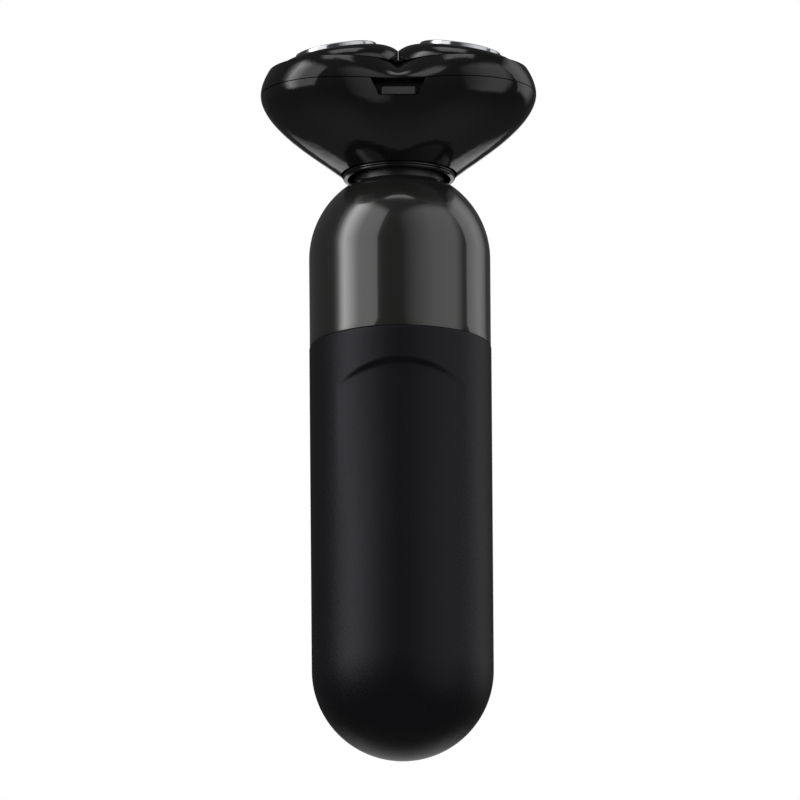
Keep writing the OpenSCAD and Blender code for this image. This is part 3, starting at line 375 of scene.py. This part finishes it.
def carve(piece, cutter, operation="DIFFERENCE"):
    """Cuts, or joins, one closed mesh with another and throws the second one away."""
    cut = piece.modifiers.new("carve", "BOOLEAN")
    cut.object, cut.operation, cut.solver = cutter, operation, "EXACT"
    settle(piece)
    bpy.data.objects.remove(cutter)
    smooth(piece)


def bevel(piece, width, angle=CRISP, segments=2):
    """Rounds the sharp edges by a width in millimetres."""
    edge = piece.modifiers.new("bevel", "BEVEL")
    edge.width, edge.segments, edge.limit_method = width * MM, segments, "ANGLE"
    edge.angle_limit = angle
    edge.harden_normals = False
    settle(piece)
    smooth(piece)


def turned(name, profile, slot, steps=160, place=Matrix(), closed=True):
    """A surface of revolution about Z. The profile is (radius, height) in millimetres."""
    rows = len(profile)
    points = [(r * cos(2 * pi * k / steps), r * sin(2 * pi * k / steps), h)
              for k in range(steps) for r, h in profile]
    faces = [(k * rows + i, (k + 1) % steps * rows + i,
              (k + 1) % steps * rows + (i + 1) % rows, k * rows + (i + 1) % rows)
             for k in range(steps) for i in range(rows if closed else rows - 1)]
    return make_piece(name, points, faces, slot, place)


def arc(cx, cy, r, start, end, count=8):
    """Points of an arc, for profiles. Angles are in degrees."""
    return [(cx + r * cos(radians(start + (end - start) * i / count)),
             cy + r * sin(radians(start + (end - start) * i / count)))
            for i in range(count + 1)]


def box_points(low, high):
    """The corners and faces of a box."""
    xs, ys, zs = zip(low, high)
    points = [(x, y, z) for x in xs for y in ys for z in zs]
    faces = [(0, 1, 3, 2), (4, 6, 7, 5), (0, 4, 5, 1), (2, 3, 7, 6), (0, 2, 6, 4), (1, 5, 7, 3)]
    return points, faces


def bar_y(name, outline, y0, y1):
    """A closed outline in X and Z, swept from y0 to y1. Used for cutting holes."""
    n = len(outline)
    points = [(x, y, z) for y in (y0, y1) for x, z in outline]
    faces = [tuple(range(n)), tuple(range(2 * n - 1, n - 1, -1))]
    faces += [(i, i + n, (i + 1) % n + n, (i + 1) % n) for i in range(n)]
    return make_piece(name, points, faces, "black_plastic")


# %% [markdown]
# ## The grip
# The grip is a soft-touch sleeve: half a ball, then a straight tube up to the seam. Its
# front has a finger rest, an arched step about a millimetre deep that runs out downwards.
# A boolean cut would leave the step knife-sharp, but on the real sleeve its edge is soft.
# So the surface is made point by point, and the rest is a smooth drop in its radius.

# %% Grip surface
grip_high = span("grip_sleeve")[1]
grip_r, seam_z = grip_high.x, grip_high.z
GRIP_WALL = 2.0
REST_DEPTH, REST_HALF, REST_TOP, REST_END = 1.0, 13.75, 83.4, 45.0
REST_ARCH, REST_EDGE = 22.5, 0.9


def ease(x):
    """0 below 0, 1 above 1, and a smooth S between them."""
    x = min(1, max(0, x))
    return x * x * (3 - 2 * x)


def rest_drop(x, y, z):
    """How far the finger rest takes the surface in at a point."""
    if y > 0 or abs(x) >= REST_HALF or z >= REST_TOP:
        return 0
    arch_z = REST_TOP - REST_ARCH + sqrt(max(0, REST_ARCH ** 2 - x * x))
    across = 1 - (x / REST_HALF) ** 2
    down = max(0, (z - REST_END) / (REST_TOP - REST_END))
    return REST_DEPTH * across * down * ease((arch_z - z) / REST_EDGE)


def capsule_rows(r, top):
    """Radius and height of a capsule's rows, from its lowest point up, set against grip_r."""
    ball = [(r * sin(radians(a)), grip_r - r * cos(radians(a))) for a in range(0, 90, 3)]
    step = 0.4
    count = int((top - grip_r) / step)
    return ball + [(r, grip_r + (top - grip_r) * i / count) for i in range(count + 1)]


steps = 300
outer_rows = capsule_rows(grip_r, seam_z - 0.3)
outer_rows += [(grip_r - 0.06, seam_z - 0.1), (grip_r - 0.2, seam_z)]
inner_rows = [(grip_r - GRIP_WALL, seam_z), (grip_r - GRIP_WALL, grip_r)]
inner_rows += [((grip_r - GRIP_WALL) * cos(radians(a)),
                grip_r - (grip_r - GRIP_WALL) * sin(radians(a))) for a in range(10, 91, 10)]
rows = outer_rows + inner_rows
points, faces = [], []
for k in range(steps):
    turn = 2 * pi * k / steps
    for i, (r, z) in enumerate(rows):
        if i < len(outer_rows):
            r -= rest_drop(r * cos(turn), r * sin(turn), z)
        points.append((r * cos(turn), r * sin(turn), z))
count = len(rows)
for k in range(steps):
    n = (k + 1) % steps
    faces += [(k * count + i, n * count + i, n * count + i + 1, k * count + i + 1)
              for i in range(count - 1)]
grip = make_piece("grip", points, faces, "grip_rubber")

# %% Holes for the light ring and the charging port
ring_low, ring_high = span("light_ring")
button_z = (ring_low.z + ring_high.z) / 2
ring_r = (ring_high.z - ring_low.z) / 2
HOLE_FROM, HOLE_TO, HOLE_GAP = 12, 24, 0.1
hole = [(x, button_z + z) for x, z in arc(0, 0, ring_r + HOLE_GAP, 0, 360, 96)[:-1]]
carve(grip, bar_y("button_hole", hole, HOLE_FROM, HOLE_TO))
port_low, port_high = span("port_seal")
port_z = (port_low.z + port_high.z) / 2
port_r = (port_high.z - port_low.z) / 2
port_half = (port_high.x - port_low.x) / 2 - port_r
slot_outline = [(side_x + x, port_z + z) for side_x, start in ((port_half, -90), (-port_half, 90))
                for x, z in arc(0, 0, port_r + HOLE_GAP, start, start + 180, 24)]
carve(grip, bar_y("port_hole", slot_outline, HOLE_FROM, HOLE_TO))
smooth(grip, radians(50))
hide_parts("grip_sleeve")
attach(grip, "handle")
print("grip faces", len(grip.data.polygons))

# %% [markdown]
# ## The upper shell
# The upper shell is lacquered plastic: a short tube that closes in a dome, with a flat on
# top for the neck. Its long reflections show every facet, so it is a fine surface of
# revolution. The seam's two edges are rounded a little, and that makes the dark line.

# %% Upper shell
shell_high = span("upper_shell")[1]
shell_r, neck_z = shell_high.x, shell_high.z
dome_z = 109.9
NECK_FLAT_R, STEM_HOLE_R, SHELL_WALL = 10.9, 8.9, 1.8
flat_angle = degrees(acos(NECK_FLAT_R / shell_r))
shell_dome = arc(0, dome_z, shell_r, 0, flat_angle - 0.8, 60)
inside_r = shell_r - SHELL_WALL
shell_profile = ([(inside_r, seam_z + 0.02), (shell_r - 0.25, seam_z + 0.02),
                  (shell_r - 0.07, seam_z + 0.09), (shell_r, seam_z + 0.27)]
                 + [(shell_r, seam_z + (dome_z - seam_z) * i / 12) for i in range(1, 12)]
                 + shell_dome
                 + [(NECK_FLAT_R - 0.1, neck_z - 0.02), (NECK_FLAT_R - 0.35, neck_z),
                    (STEM_HOLE_R, neck_z), (STEM_HOLE_R, neck_z - 3)]
                 + arc(0, dome_z, inside_r, 45, 0, 12))
upper = turned("upper_shell_skin", shell_profile, "gloss_dark", steps=256)
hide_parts("upper_shell")
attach(upper, "handle")

# %% [markdown]
# ## The collar
# Two thin rounded lips with a groove between them close the gap under the head. They are
# one ring, turned from a profile of two half circles.

# %% Collar
collar_low, collar_high = span("neck_collar")
bowl_low, bowl_high = span("head_bowl")
head_z, bowl_z, bowl_top = collar_low.z, bowl_low.z, bowl_high.z
collar_r = collar_high.x
lip = (bowl_z - head_z) / 4
collar_profile = (arc(collar_r - lip, head_z + lip, lip, -90, 80, 10)
                  + arc(collar_r - lip, head_z + 3 * lip, lip, -80, 90, 10)
                  + [(11.5, bowl_z), (11.5, collar_high.z), (11.0, collar_high.z),
                     (11.0, head_z)])
collar = turned("collar_lips", collar_profile, "gloss_black", steps=192)
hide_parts("neck_collar")
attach(collar, "head_base")

# %% [markdown]
# ## The head's bowl
# Seen from above the head is a rounded triangle, and its outline follows a rule: a mean
# radius, plus a wave that repeats three times, plus a small one that repeats six times.
# Upwards the bowl opens out from a round foot by a second rule. A shape with such rules is
# a good case for Geometry Nodes: a flat grid supplies two running numbers, one round the
# head and one up the outside, over the rim and down the inside, and Set Position moves each
# point to its place.

# %% The numbers of the head
cover_low, cover_high = span("head_cover")
cover_z, cover_top = cover_low.z, cover_high.z
parting_z = (bowl_top + cover_z) / 2
CUTTER_CIRCLE, LOBE_R, WAIST = 15.3, 16.1, 21.8
BEZEL_R = LOBE_R - 1.8
HEAD_WALL, BULGE = 1.6, 1.8
FOOT_R, BORE_R = collar_r + 0.45, collar_r - 0.3
LOBES = (210, 330, 90)


def lobed(turn, r):
    """Radius of three joined circles of radius r round the cutter axes. Turn in degrees."""
    a = radians((turn - 90 + 60) % 120 - 60)
    return CUTTER_CIRCLE * cos(a) + sqrt(max(0, r * r - (CUTTER_CIRCLE * sin(a)) ** 2))


reach = CUTTER_CIRCLE + LOBE_R
side = lobed(120, LOBE_R)
OUTLINE_INSET = 0.02
MEAN = (reach + WAIST) / 4 + side / 2 - OUTLINE_INSET
SWING = (reach - WAIST) / 2
FILL = (reach + WAIST) / 4 - side / 2


def outline(turn):
    """Radius of the head at the parting line. Turn in degrees."""
    return (MEAN + SWING * cos(radians(3 * (turn - 90)))
            + FILL * cos(radians(6 * (turn - 90))))


print("head reach", round(reach, 2), "side", round(side, 2))

# %% A tree that makes the bowl
def new_tree(name, inputs):
    """An empty geometry tree with named inputs. Returns it and the inputs as values."""
    group = bpy.data.node_groups.new(name, "GeometryNodeTree")
    group.interface.new_socket("Geometry", in_out="OUTPUT", socket_type="NodeSocketGeometry")
    for label, kind in inputs.items():
        group.interface.new_socket(label, in_out="INPUT", socket_type="NodeSocket" + kind)
    tree = Tree(group)
    entry = group.nodes.new("NodeGroupInput")
    return group, tree, {label: Value(tree, entry.outputs[label]) for label in inputs}


def grown(name, group, values, slot):
    """A piece made by a geometry tree. Inputs are set by identifier, then it is a mesh."""
    piece = bpy.data.objects.new(name, bpy.data.meshes.new(name))
    scene.collection.objects.link(piece)
    maker = piece.modifiers.new("grown", "NODES")
    maker.node_group = group
    for item in group.interface.items_tree:
        if item.in_out == "INPUT":
            maker[item.identifier] = values[item.name]
    settle(piece)
    if not piece.data.materials:
        piece.data.materials.append(finishes[slot])
    smooth(piece)
    return piece


group, tree, given = new_tree("bowl_rule", {
    "Steps": "Int", "Rows": "Int", "Mean": "Float", "Swing": "Float", "Fill": "Float",
    "Foot": "Float", "Bore": "Float", "Low": "Float", "High": "Float", "Wall": "Float",
    "Bulge": "Float", "Finish": "Material"})
grid = tree.node("GeometryNodeMeshGrid", {}, {"Vertices X": given["Steps"] + 1,
                                              "Vertices Y": given["Rows"] + 1})
where = tree.node("GeometryNodeInputPosition")
parts = tree.node("ShaderNodeSeparateXYZ", {}, {"Vector": where})
turn = (parts.out("X") + 0.5) * (2 * pi)
run = parts.out("Y") + 0.5
wave = turn - pi / 2
outer_edge = given["Mean"] + given["Swing"] * (wave * 3).math("COSINE") \
    + given["Fill"] * (wave * 6).math("COSINE")
inside = run.over(0.5)
ends = run.over(0.9999)
climb = ((1 - (run * 2 - 1).math("ABSOLUTE")) * 1.03).math("MINIMUM", 1.0) * (1 - ends)
opened = 1 - (1 - climb).math("MAXIMUM", 0.0) ** given["Bulge"]
foot = given["Foot"] + (given["Bore"] - given["Foot"]) * inside * (1 - ends)
edge = outer_edge - given["Wall"] * inside * (1 - ends)
radius = foot + (edge - foot) * opened
floor_height = given["Low"] + inside * (1 - ends) * (1.0 * MM)
height = floor_height + (given["High"] - floor_height) * climb
spot = tree.node("ShaderNodeCombineXYZ", {}, {
    "X": radius * turn.math("COSINE"), "Y": radius * turn.math("SINE"), "Z": height})
moved = tree.node("GeometryNodeSetPosition", {}, {"Geometry": grid, "Position": spot})
welded = tree.node("GeometryNodeMergeByDistance", {}, {"Geometry": moved, "Distance": 1e-6})
real = tree.node("GeometryNodeRealizeInstances", {}, {"Geometry": welded})
dressed = tree.node("GeometryNodeSetMaterial", {}, {"Geometry": real, "Material": given["Finish"]})
last = group.nodes.new("NodeGroupOutput")
group.links.new(dressed.socket, last.inputs["Geometry"])
bowl = grown("bowl", group, {
    "Steps": 300, "Rows": 90, "Mean": MEAN * MM, "Swing": SWING * MM, "Fill": FILL * MM,
    "Foot": FOOT_R * MM, "Bore": BORE_R * MM, "Low": bowl_z * MM, "High": bowl_top * MM,
    "Wall": HEAD_WALL * MM, "Bulge": BULGE, "Finish": finishes["gloss_black"]}, "gloss_black")
print("bowl faces", len(bowl.data.polygons))

# %% [markdown]
# ## The notch
# Under the parting line the front of the bowl has a notch with the release catch in it. It
# is wide at the top and narrower below. The cutting block flares where it meets the skin,
# and the flare stays behind as a narrow bevel round the notch.

# %% Notch
NOTCH_TOP, NOTCH_LOW, NOTCH_H = 6.0, 4.3, 3.6
NOTCH_BACK = WAIST - 2.4


def notch_block(name, sections):
    """A block through sections (y, how much wider), each a four-cornered notch outline."""
    points, faces = [], []
    for y, wider in sections:
        low = parting_z - NOTCH_H - wider
        points += [(-NOTCH_LOW - wider, y, low), (NOTCH_LOW + wider, y, low),
                   (NOTCH_TOP + wider, y, parting_z + 1), (-NOTCH_TOP - wider, y, parting_z + 1)]
    for k in range(len(sections) - 1):
        faces += [(4 * k + i, 4 * k + (i + 1) % 4, 4 * k + 4 + (i + 1) % 4, 4 * k + 4 + i)
                  for i in range(4)]
    end = 4 * len(sections)
    faces += [(3, 2, 1, 0), (end - 4, end - 3, end - 2, end - 1)]
    return make_piece(name, points, faces, "gloss_black")


pocket = make_piece("pocket", *box_points((-7, -NOTCH_BACK - 1.2, parting_z - NOTCH_H - 1),
                                          (7, -NOTCH_BACK + 0.8, bowl_top)), "gloss_black")
carve(bowl, pocket, "UNION")
carve(bowl, notch_block("notch", [(-NOTCH_BACK, 0), (-WAIST - 0.3, 0), (-WAIST - 2.6, 1.0)]))
bracket_low, bracket_high = span("hinge_bracket")
carve(bowl, make_piece("hinge_gap", *box_points(
    (bracket_low.x - 0.1, bracket_low.y - 0.1, bracket_low.z - 0.1),
    (bracket_high.x + 0.1, bracket_high.y + 3, bracket_high.z + 3)), "gloss_black"))
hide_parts("head_bowl")
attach(bowl, "head_base")

# %% [markdown]
# ## The release catch
# The catch is a small moulded tab of a lighter plastic. Its CAD shape is right but has knife
# edges, so a merged copy of its mesh gets rounded edges from a bevel.

# %% Release catch
CATCH_ROUND = 0.45
catch_mesh = frame["nodes"]["release_catch"].data.copy()
catch = bpy.data.objects.new("catch", catch_mesh)
scene.collection.objects.link(catch)
catch.data.materials.clear()
catch.data.materials.append(finish("catch_plastic", (0.055, 0.055, 0.056), 0.30, 0.1, 0.06,
                                   0.12, 0.08))
smooth(catch)
bevel(catch, CATCH_ROUND, segments=4)
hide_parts("release_catch")
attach(catch, "catch")

# %% [markdown]
# ## The head's cover
# Above the parting line the outline changes from the rounded triangle to three joined
# circles that fit round the cutters. The change follows one curve, so plain Python can lay
# the rings: down the inside, up the outside, and in over the top.

# %% Cover
cover_steps, cover_rows = 360, 26


def cover_point(turn, u, inset=0.0):
    """A point of the cover's wall at a share u of its height."""
    blend = u ** BULGE
    r = outline(turn) * (1 - blend) + lobed(turn, BEZEL_R) * blend - inset
    a = radians(turn)
    return (r * cos(a), r * sin(a), cover_z + u * (cover_top - cover_z))


rings = []
for i in range(cover_rows + 1):
    rings.append([cover_point(360 * k / cover_steps, 1 - i / cover_rows, HEAD_WALL)
                  for k in range(cover_steps)])
for i in range(cover_rows + 1):
    rings.append([cover_point(360 * k / cover_steps, i / cover_rows) for k in range(cover_steps)])
points = [p for ring in rings for p in ring]
faces = [(i * cover_steps + k, i * cover_steps + (k + 1) % cover_steps,
          (i + 1) % len(rings) * cover_steps + (k + 1) % cover_steps,
          (i + 1) % len(rings) * cover_steps + k)
         for i in range(len(rings)) for k in range(cover_steps)]
cover = make_piece("cover", points, faces, "gloss_black")
lug_high = span("cover_lug")[1]
carve(cover, make_piece("cover_gap", *box_points(
    (bracket_low.x - 0.2, bracket_low.y - 0.1, cover_z - 3),
    (bracket_high.x + 0.2, bracket_high.y + 3, lug_high.z + 0.1)), "gloss_black"))

# %% [markdown]
# ## The lip and the seat plate
# A lip stands inside the parting line, as on a real head, and keeps light from passing
# through the gap. It stops short of the notch and of the hinge. A plate inside the cover
# carries the three cutters, and it reaches up to just under the bezel for the same reason.

# %% Sealing lip inside the parting line
LIP_DROP, LIP_RISE, LIP_OUT, LIP_IN = 1.2, 0.8, HEAD_WALL + 0.15, HEAD_WALL + 0.7
lip_profile = [(HEAD_WALL - 0.05, bowl_top - LIP_DROP), (HEAD_WALL - 0.05, bowl_top - 0.05),
               (LIP_OUT, bowl_top - 0.05), (LIP_OUT, cover_z + LIP_RISE),
               (LIP_IN, cover_z + LIP_RISE), (LIP_IN, bowl_top - LIP_DROP)]
for name, first, last in (("left_lip", 104, 248), ("right_lip", -68, 76)):
    points, faces = [], []
    for turn in range(first, last + 1):
        a = radians(turn)
        points += [((outline(turn) - inset) * cos(a), (outline(turn) - inset) * sin(a), z)
                   for inset, z in lip_profile]
    n = len(lip_profile)
    for k in range(last - first):
        faces += [(n * k + i, n * k + (i + 1) % n, n * k + n + (i + 1) % n, n * k + n + i)
                  for i in range(n)]
    faces += [tuple(range(n)), tuple(range(len(points) - 1, len(points) - 1 - n, -1))]
    lip_piece = make_piece(name, points, faces, "gloss_black")
    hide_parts("head_bowl")
    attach(lip_piece, "head_base")

# %% Seat plate inside the cover
BASE_GAP = 0.25
SEAT_R, SEAT_CIRCLE = 12.3, CUTTER_CIRCLE - 0.4
PLATE_GAP = 0.03
plate_steps = 120
plate_points = []
for z in (cover_top - HEAD_WALL, cover_top + BASE_GAP - PLATE_GAP):
    for k in range(plate_steps):
        turn = 360 * k / plate_steps
        r = lobed(turn, BEZEL_R) - HEAD_WALL - 0.05
        plate_points.append((r * cos(radians(turn)), r * sin(radians(turn)), z))
plate_faces = [tuple(range(plate_steps - 1, -1, -1)), tuple(range(plate_steps, 2 * plate_steps))]
plate_faces += [(k, (k + 1) % plate_steps, (k + 1) % plate_steps + plate_steps, k + plate_steps)
                for k in range(plate_steps)]
seat_plate = make_piece("seat_plate", plate_points, plate_faces, "black_plastic")
for angle in LOBES:
    a = radians(angle)
    carve(seat_plate, turned("seat_hole", [(0, -3), (SEAT_R, -3), (SEAT_R, 3), (0, 3)],
                             "black_plastic", 96, Matrix.Translation(
        (SEAT_CIRCLE * cos(a), SEAT_CIRCLE * sin(a), cover_top - 1)), closed=False))
for piece, slot in ((cover, "gloss_black"), (seat_plate, "black_plastic")):
    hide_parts("head_cover")
    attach(piece, "cover")
print("cover faces", len(cover.data.polygons))

# %% [markdown]
# ## The bezel
# Each cutter sits in its own dome, and each dome leans outwards with its cutter. The three
# domes meet in sharp valleys. Each one is swept round its cutter's own leaning axis, with a
# round shoulder, and a boolean keeps only the third of it that lies on its own side of the
# two upright planes where it meets its neighbours.

# %% Frames of the cutters
tilt = radians(10)
cutter_z = parting_z + 10.2


def cutter_frame(angle):
    """The matrix from a cutter's own frame, zero at the top of its cup, to the head's."""
    return (Matrix.Rotation(radians(angle), 4, "Z")
            @ Matrix.Translation((CUTTER_CIRCLE, 0, cutter_z)) @ Matrix.Rotation(tilt, 4, "Y"))


# %% Domes
CUP_R, RING_PROUD = 8.7, 1.1
SHOULDER_OUT, SHOULDER_IN = 4.6, 4.9
RECESS_R, RING_GAP = 10.7, 0.12
SKIRT, DOME_FOOT = 3.2, 12


def dome_profile(turn):
    """Radius and height of a dome's section. Its shoulder is a little wider at the middle."""
    outward = ease((cos(turn) + 0.4) / 0.9)
    shoulder = SHOULDER_IN + (SHOULDER_OUT - SHOULDER_IN) * outward
    return ([(RECESS_R, -DOME_FOOT), (RECESS_R, -SKIRT), (CUP_R + RING_GAP, -SKIRT),
             (CUP_R + RING_GAP, -RING_PROUD - 0.25), (CUP_R + 0.2, -RING_PROUD - 0.07),
             (CUP_R + 0.38, -RING_PROUD)]
            + arc(BEZEL_R - shoulder, -RING_PROUD - shoulder, shoulder, 90, 0, 28)
            + [(BEZEL_R, -DOME_FOOT)])


def dome(angle, steps=288):
    """One whole dome, before its neighbours cut it."""
    points = []
    for k in range(steps):
        turn = 2 * pi * k / steps
        section = dome_profile(turn)
        points += [(r * cos(turn), r * sin(turn), h) for r, h in section]
    rows = len(section)
    faces = [(k * rows + i, (k + 1) % steps * rows + i,
              (k + 1) % steps * rows + (i + 1) % rows, k * rows + (i + 1) % rows)
             for k in range(steps) for i in range(rows)]
    return make_piece("dome", points, faces, "gloss_black", cutter_frame(angle))


SLIT, FAR = 0.02, 60
bezel_mesh = bmesh.new()
for angle in LOBES:
    lobe = dome(angle)
    a = radians(angle)
    corners = [(SLIT * cos(a), SLIT * sin(a))]
    corners += [(FAR * cos(a + t) + SLIT * cos(a), FAR * sin(a + t) + SLIT * sin(a))
                for t in (-pi / 3, 0, pi / 3)]
    sector_points = [(x, y, z) for z in (cover_top + BASE_GAP, cover_top + 20) for x, y in corners]
    sector_faces = [(3, 2, 1, 0), (4, 5, 6, 7)]
    sector_faces += [(i, (i + 1) % 4, (i + 1) % 4 + 4, i + 4) for i in range(4)]
    carve(lobe, make_piece("sector", sector_points, sector_faces, "gloss_black"), "INTERSECT")
    bezel_mesh.from_mesh(lobe.data)
    bpy.data.objects.remove(lobe)
print("open edges", sum(e.is_boundary for e in bezel_mesh.edges))
data = bpy.data.meshes.new("bezel")
bezel_mesh.to_mesh(data)
bezel_mesh.free()
data.materials.append(finishes["gloss_black"])
bezel = bpy.data.objects.new("bezel", data)
scene.collection.objects.link(bezel)
smooth(bezel, radians(30))
hub = turned("bezel_hub", [(0, cover_top - 1), (4.0, cover_top - 1), (4.0, cover_top + 0.9),
                           (3.6, cover_top + 1.3), (0, cover_top + 1.9)], "gloss_black", 96,
             closed=False)
for piece in (bezel, hub):
    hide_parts("cutter_bezel")
    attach(piece, "cover")

# %% [markdown]
# ## The cutters' cups
# The outside of each cutter is a chrome cup with a ring of narrow slots. One slot repeats
# all the way round, so only one slice of the cup is modelled, and a small geometry tree
# sets copies of it round the axis, welds them and gives them their finish.

# %% One slice of a cup
SLOTS = 40
SLOT_HALF, SLOT_IN, SLOT_OUT = 0.16, 4.7, 8.05
upper_profile = ([(0, 0.25), (1.2, 0.235), (2.4, 0.16), (2.9, 0.1), (3.3, -0.3), (3.9, -0.3),
                  (4.1, -0.06), (4.25, 0.0)])
track = [(SLOT_IN, 0.0), (SLOT_OUT, 0.0)]
rim = ([(8.42, 0.0)] + arc(CUP_R - 0.28, -0.28, 0.28, 80, 0, 4)
       + [(CUP_R, -SKIRT), (CUP_R + 0.9, -SKIRT), (CUP_R + 0.9, -3.6), (8.3, -3.6), (8.3, -0.4)])
under = [(SLOT_OUT, -0.4), (SLOT_IN, -0.4)]
middle = [(3.8, -0.4), (3.4, -0.7), (0, -0.7)]
slice_profile = upper_profile + track + rim + under + middle
pitch = 2 * pi / SLOTS


def slice_angles(r):
    """The four upright cuts through a slice at radius r: its sides and the slot's edges."""
    half = asin(min(1, SLOT_HALF / r)) if r > 1 else pitch / 4
    return (-pitch / 2, -half, half, pitch / 2)


points, faces = [], []
for r, h in slice_profile:
    points += [(r * cos(a), r * sin(a), h) for a in slice_angles(r)]
top_row = slice_profile.index(track[0])
low_row = slice_profile.index(under[0])
for i in range(len(slice_profile) - 1):
    for j in range(3):
        if not (j == 1 and i in (top_row, low_row)):
            faces.append((4 * i + j, 4 * i + 4 + j, 4 * i + 5 + j, 4 * i + 1 + j))
t0, t1, b1, b0 = 4 * top_row, 4 * top_row + 4, 4 * low_row, 4 * low_row + 4
faces += [(t0 + 1, b0 + 1, b1 + 1, t1 + 1), (t1 + 2, b1 + 2, b0 + 2, t0 + 2),
          (t0 + 2, b0 + 2, b0 + 1, t0 + 1), (t1 + 1, b1 + 1, b1 + 2, t1 + 2)]
slice_mesh = bpy.data.meshes.new("cup_slice")
slice_mesh.from_pydata([Vector(p) * MM for p in points], [], faces)
slice_piece = bpy.data.objects.new("cup_slice", slice_mesh)
scene.collection.objects.link(slice_piece)

# %% A tree that repeats a slice round an axis
group, tree, given = new_tree("repeat_round", {"Piece": "Object", "Count": "Int",
                                               "Finish": "Material"})
marks = tree.node("GeometryNodeMeshLine", {}, {"Count": given["Count"],
                                               "Offset": (0.0, 0.0, 0.0)})
source = tree.node("GeometryNodeObjectInfo", {}, {"Object": given["Piece"]}, out="Geometry")
number = tree.node("GeometryNodeInputIndex")
spin = tree.node("ShaderNodeCombineXYZ", {}, {"Z": number * (2 * pi) / given["Count"]})
copies = tree.node("GeometryNodeInstanceOnPoints", {}, {"Points": marks, "Instance": source,
                                                        "Rotation": spin})
real = tree.node("GeometryNodeRealizeInstances", {}, {"Geometry": copies})
welded = tree.node("GeometryNodeMergeByDistance", {}, {"Geometry": real, "Distance": 1e-6})
dressed = tree.node("GeometryNodeSetMaterial", {}, {"Geometry": welded,
                                                    "Material": given["Finish"]})
last = group.nodes.new("NodeGroupOutput")
group.links.new(dressed.socket, last.inputs["Geometry"])
repeat_round = group

# %% Three cups
for index, angle in enumerate(LOBES, 1):
    cup = grown(f"cup_{index}", repeat_round, {"Piece": slice_piece, "Count": SLOTS,
                                               "Finish": finishes["cutter_chrome"]},
                "cutter_chrome")
    place = cutter_frame(angle)
    place.translation *= MM
    cup.data.transform(place)
    smooth(cup, radians(25))
    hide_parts(f"foil_cup_{index}")
    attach(cup, f"cutter_{index}")
bpy.data.objects.remove(slice_piece)
print("cup faces", len(cup.data.polygons))

# %% [markdown]
# ## The springs under the cutters
# A wave spring, a flat wire ring that rises and falls three times, holds each cup up. When a
# real cup sinks its spring flattens, but here each spring keeps its shape and moves with the
# cover.

# %% Wave springs
SPRING_LOW, SPRING_HIGH, WIRE, SPRING_KEEP = -5.38, -3.62, 0.25, 0.42
WAVES, spring_steps = 3, 144
for index, angle in enumerate(LOBES, 1):
    points = []
    for k in range(spring_steps):
        turn = 2 * pi * k / spring_steps
        low = SPRING_LOW + (SPRING_HIGH - WIRE - SPRING_LOW) / 2 * (1 + cos(WAVES * turn))
        points += [(r * cos(turn), r * sin(turn), h)
                   for r, h in ((CUP_R + 0.1, low), (CUP_R + 0.9, low),
                                (CUP_R + 0.9, low + WIRE), (CUP_R + 0.1, low + WIRE))]
    faces = [(4 * k + i, 4 * k + (i + 1) % 4, 4 * ((k + 1) % spring_steps) + (i + 1) % 4,
              4 * ((k + 1) % spring_steps) + i) for k in range(spring_steps) for i in range(4)]
    place = cutter_frame(angle)
    spring = make_piece(f"spring_{index}", points, faces, "steel", place)
    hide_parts("cutter_springs")
    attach(spring, "cover")
    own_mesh(spring)
print("springs", index)
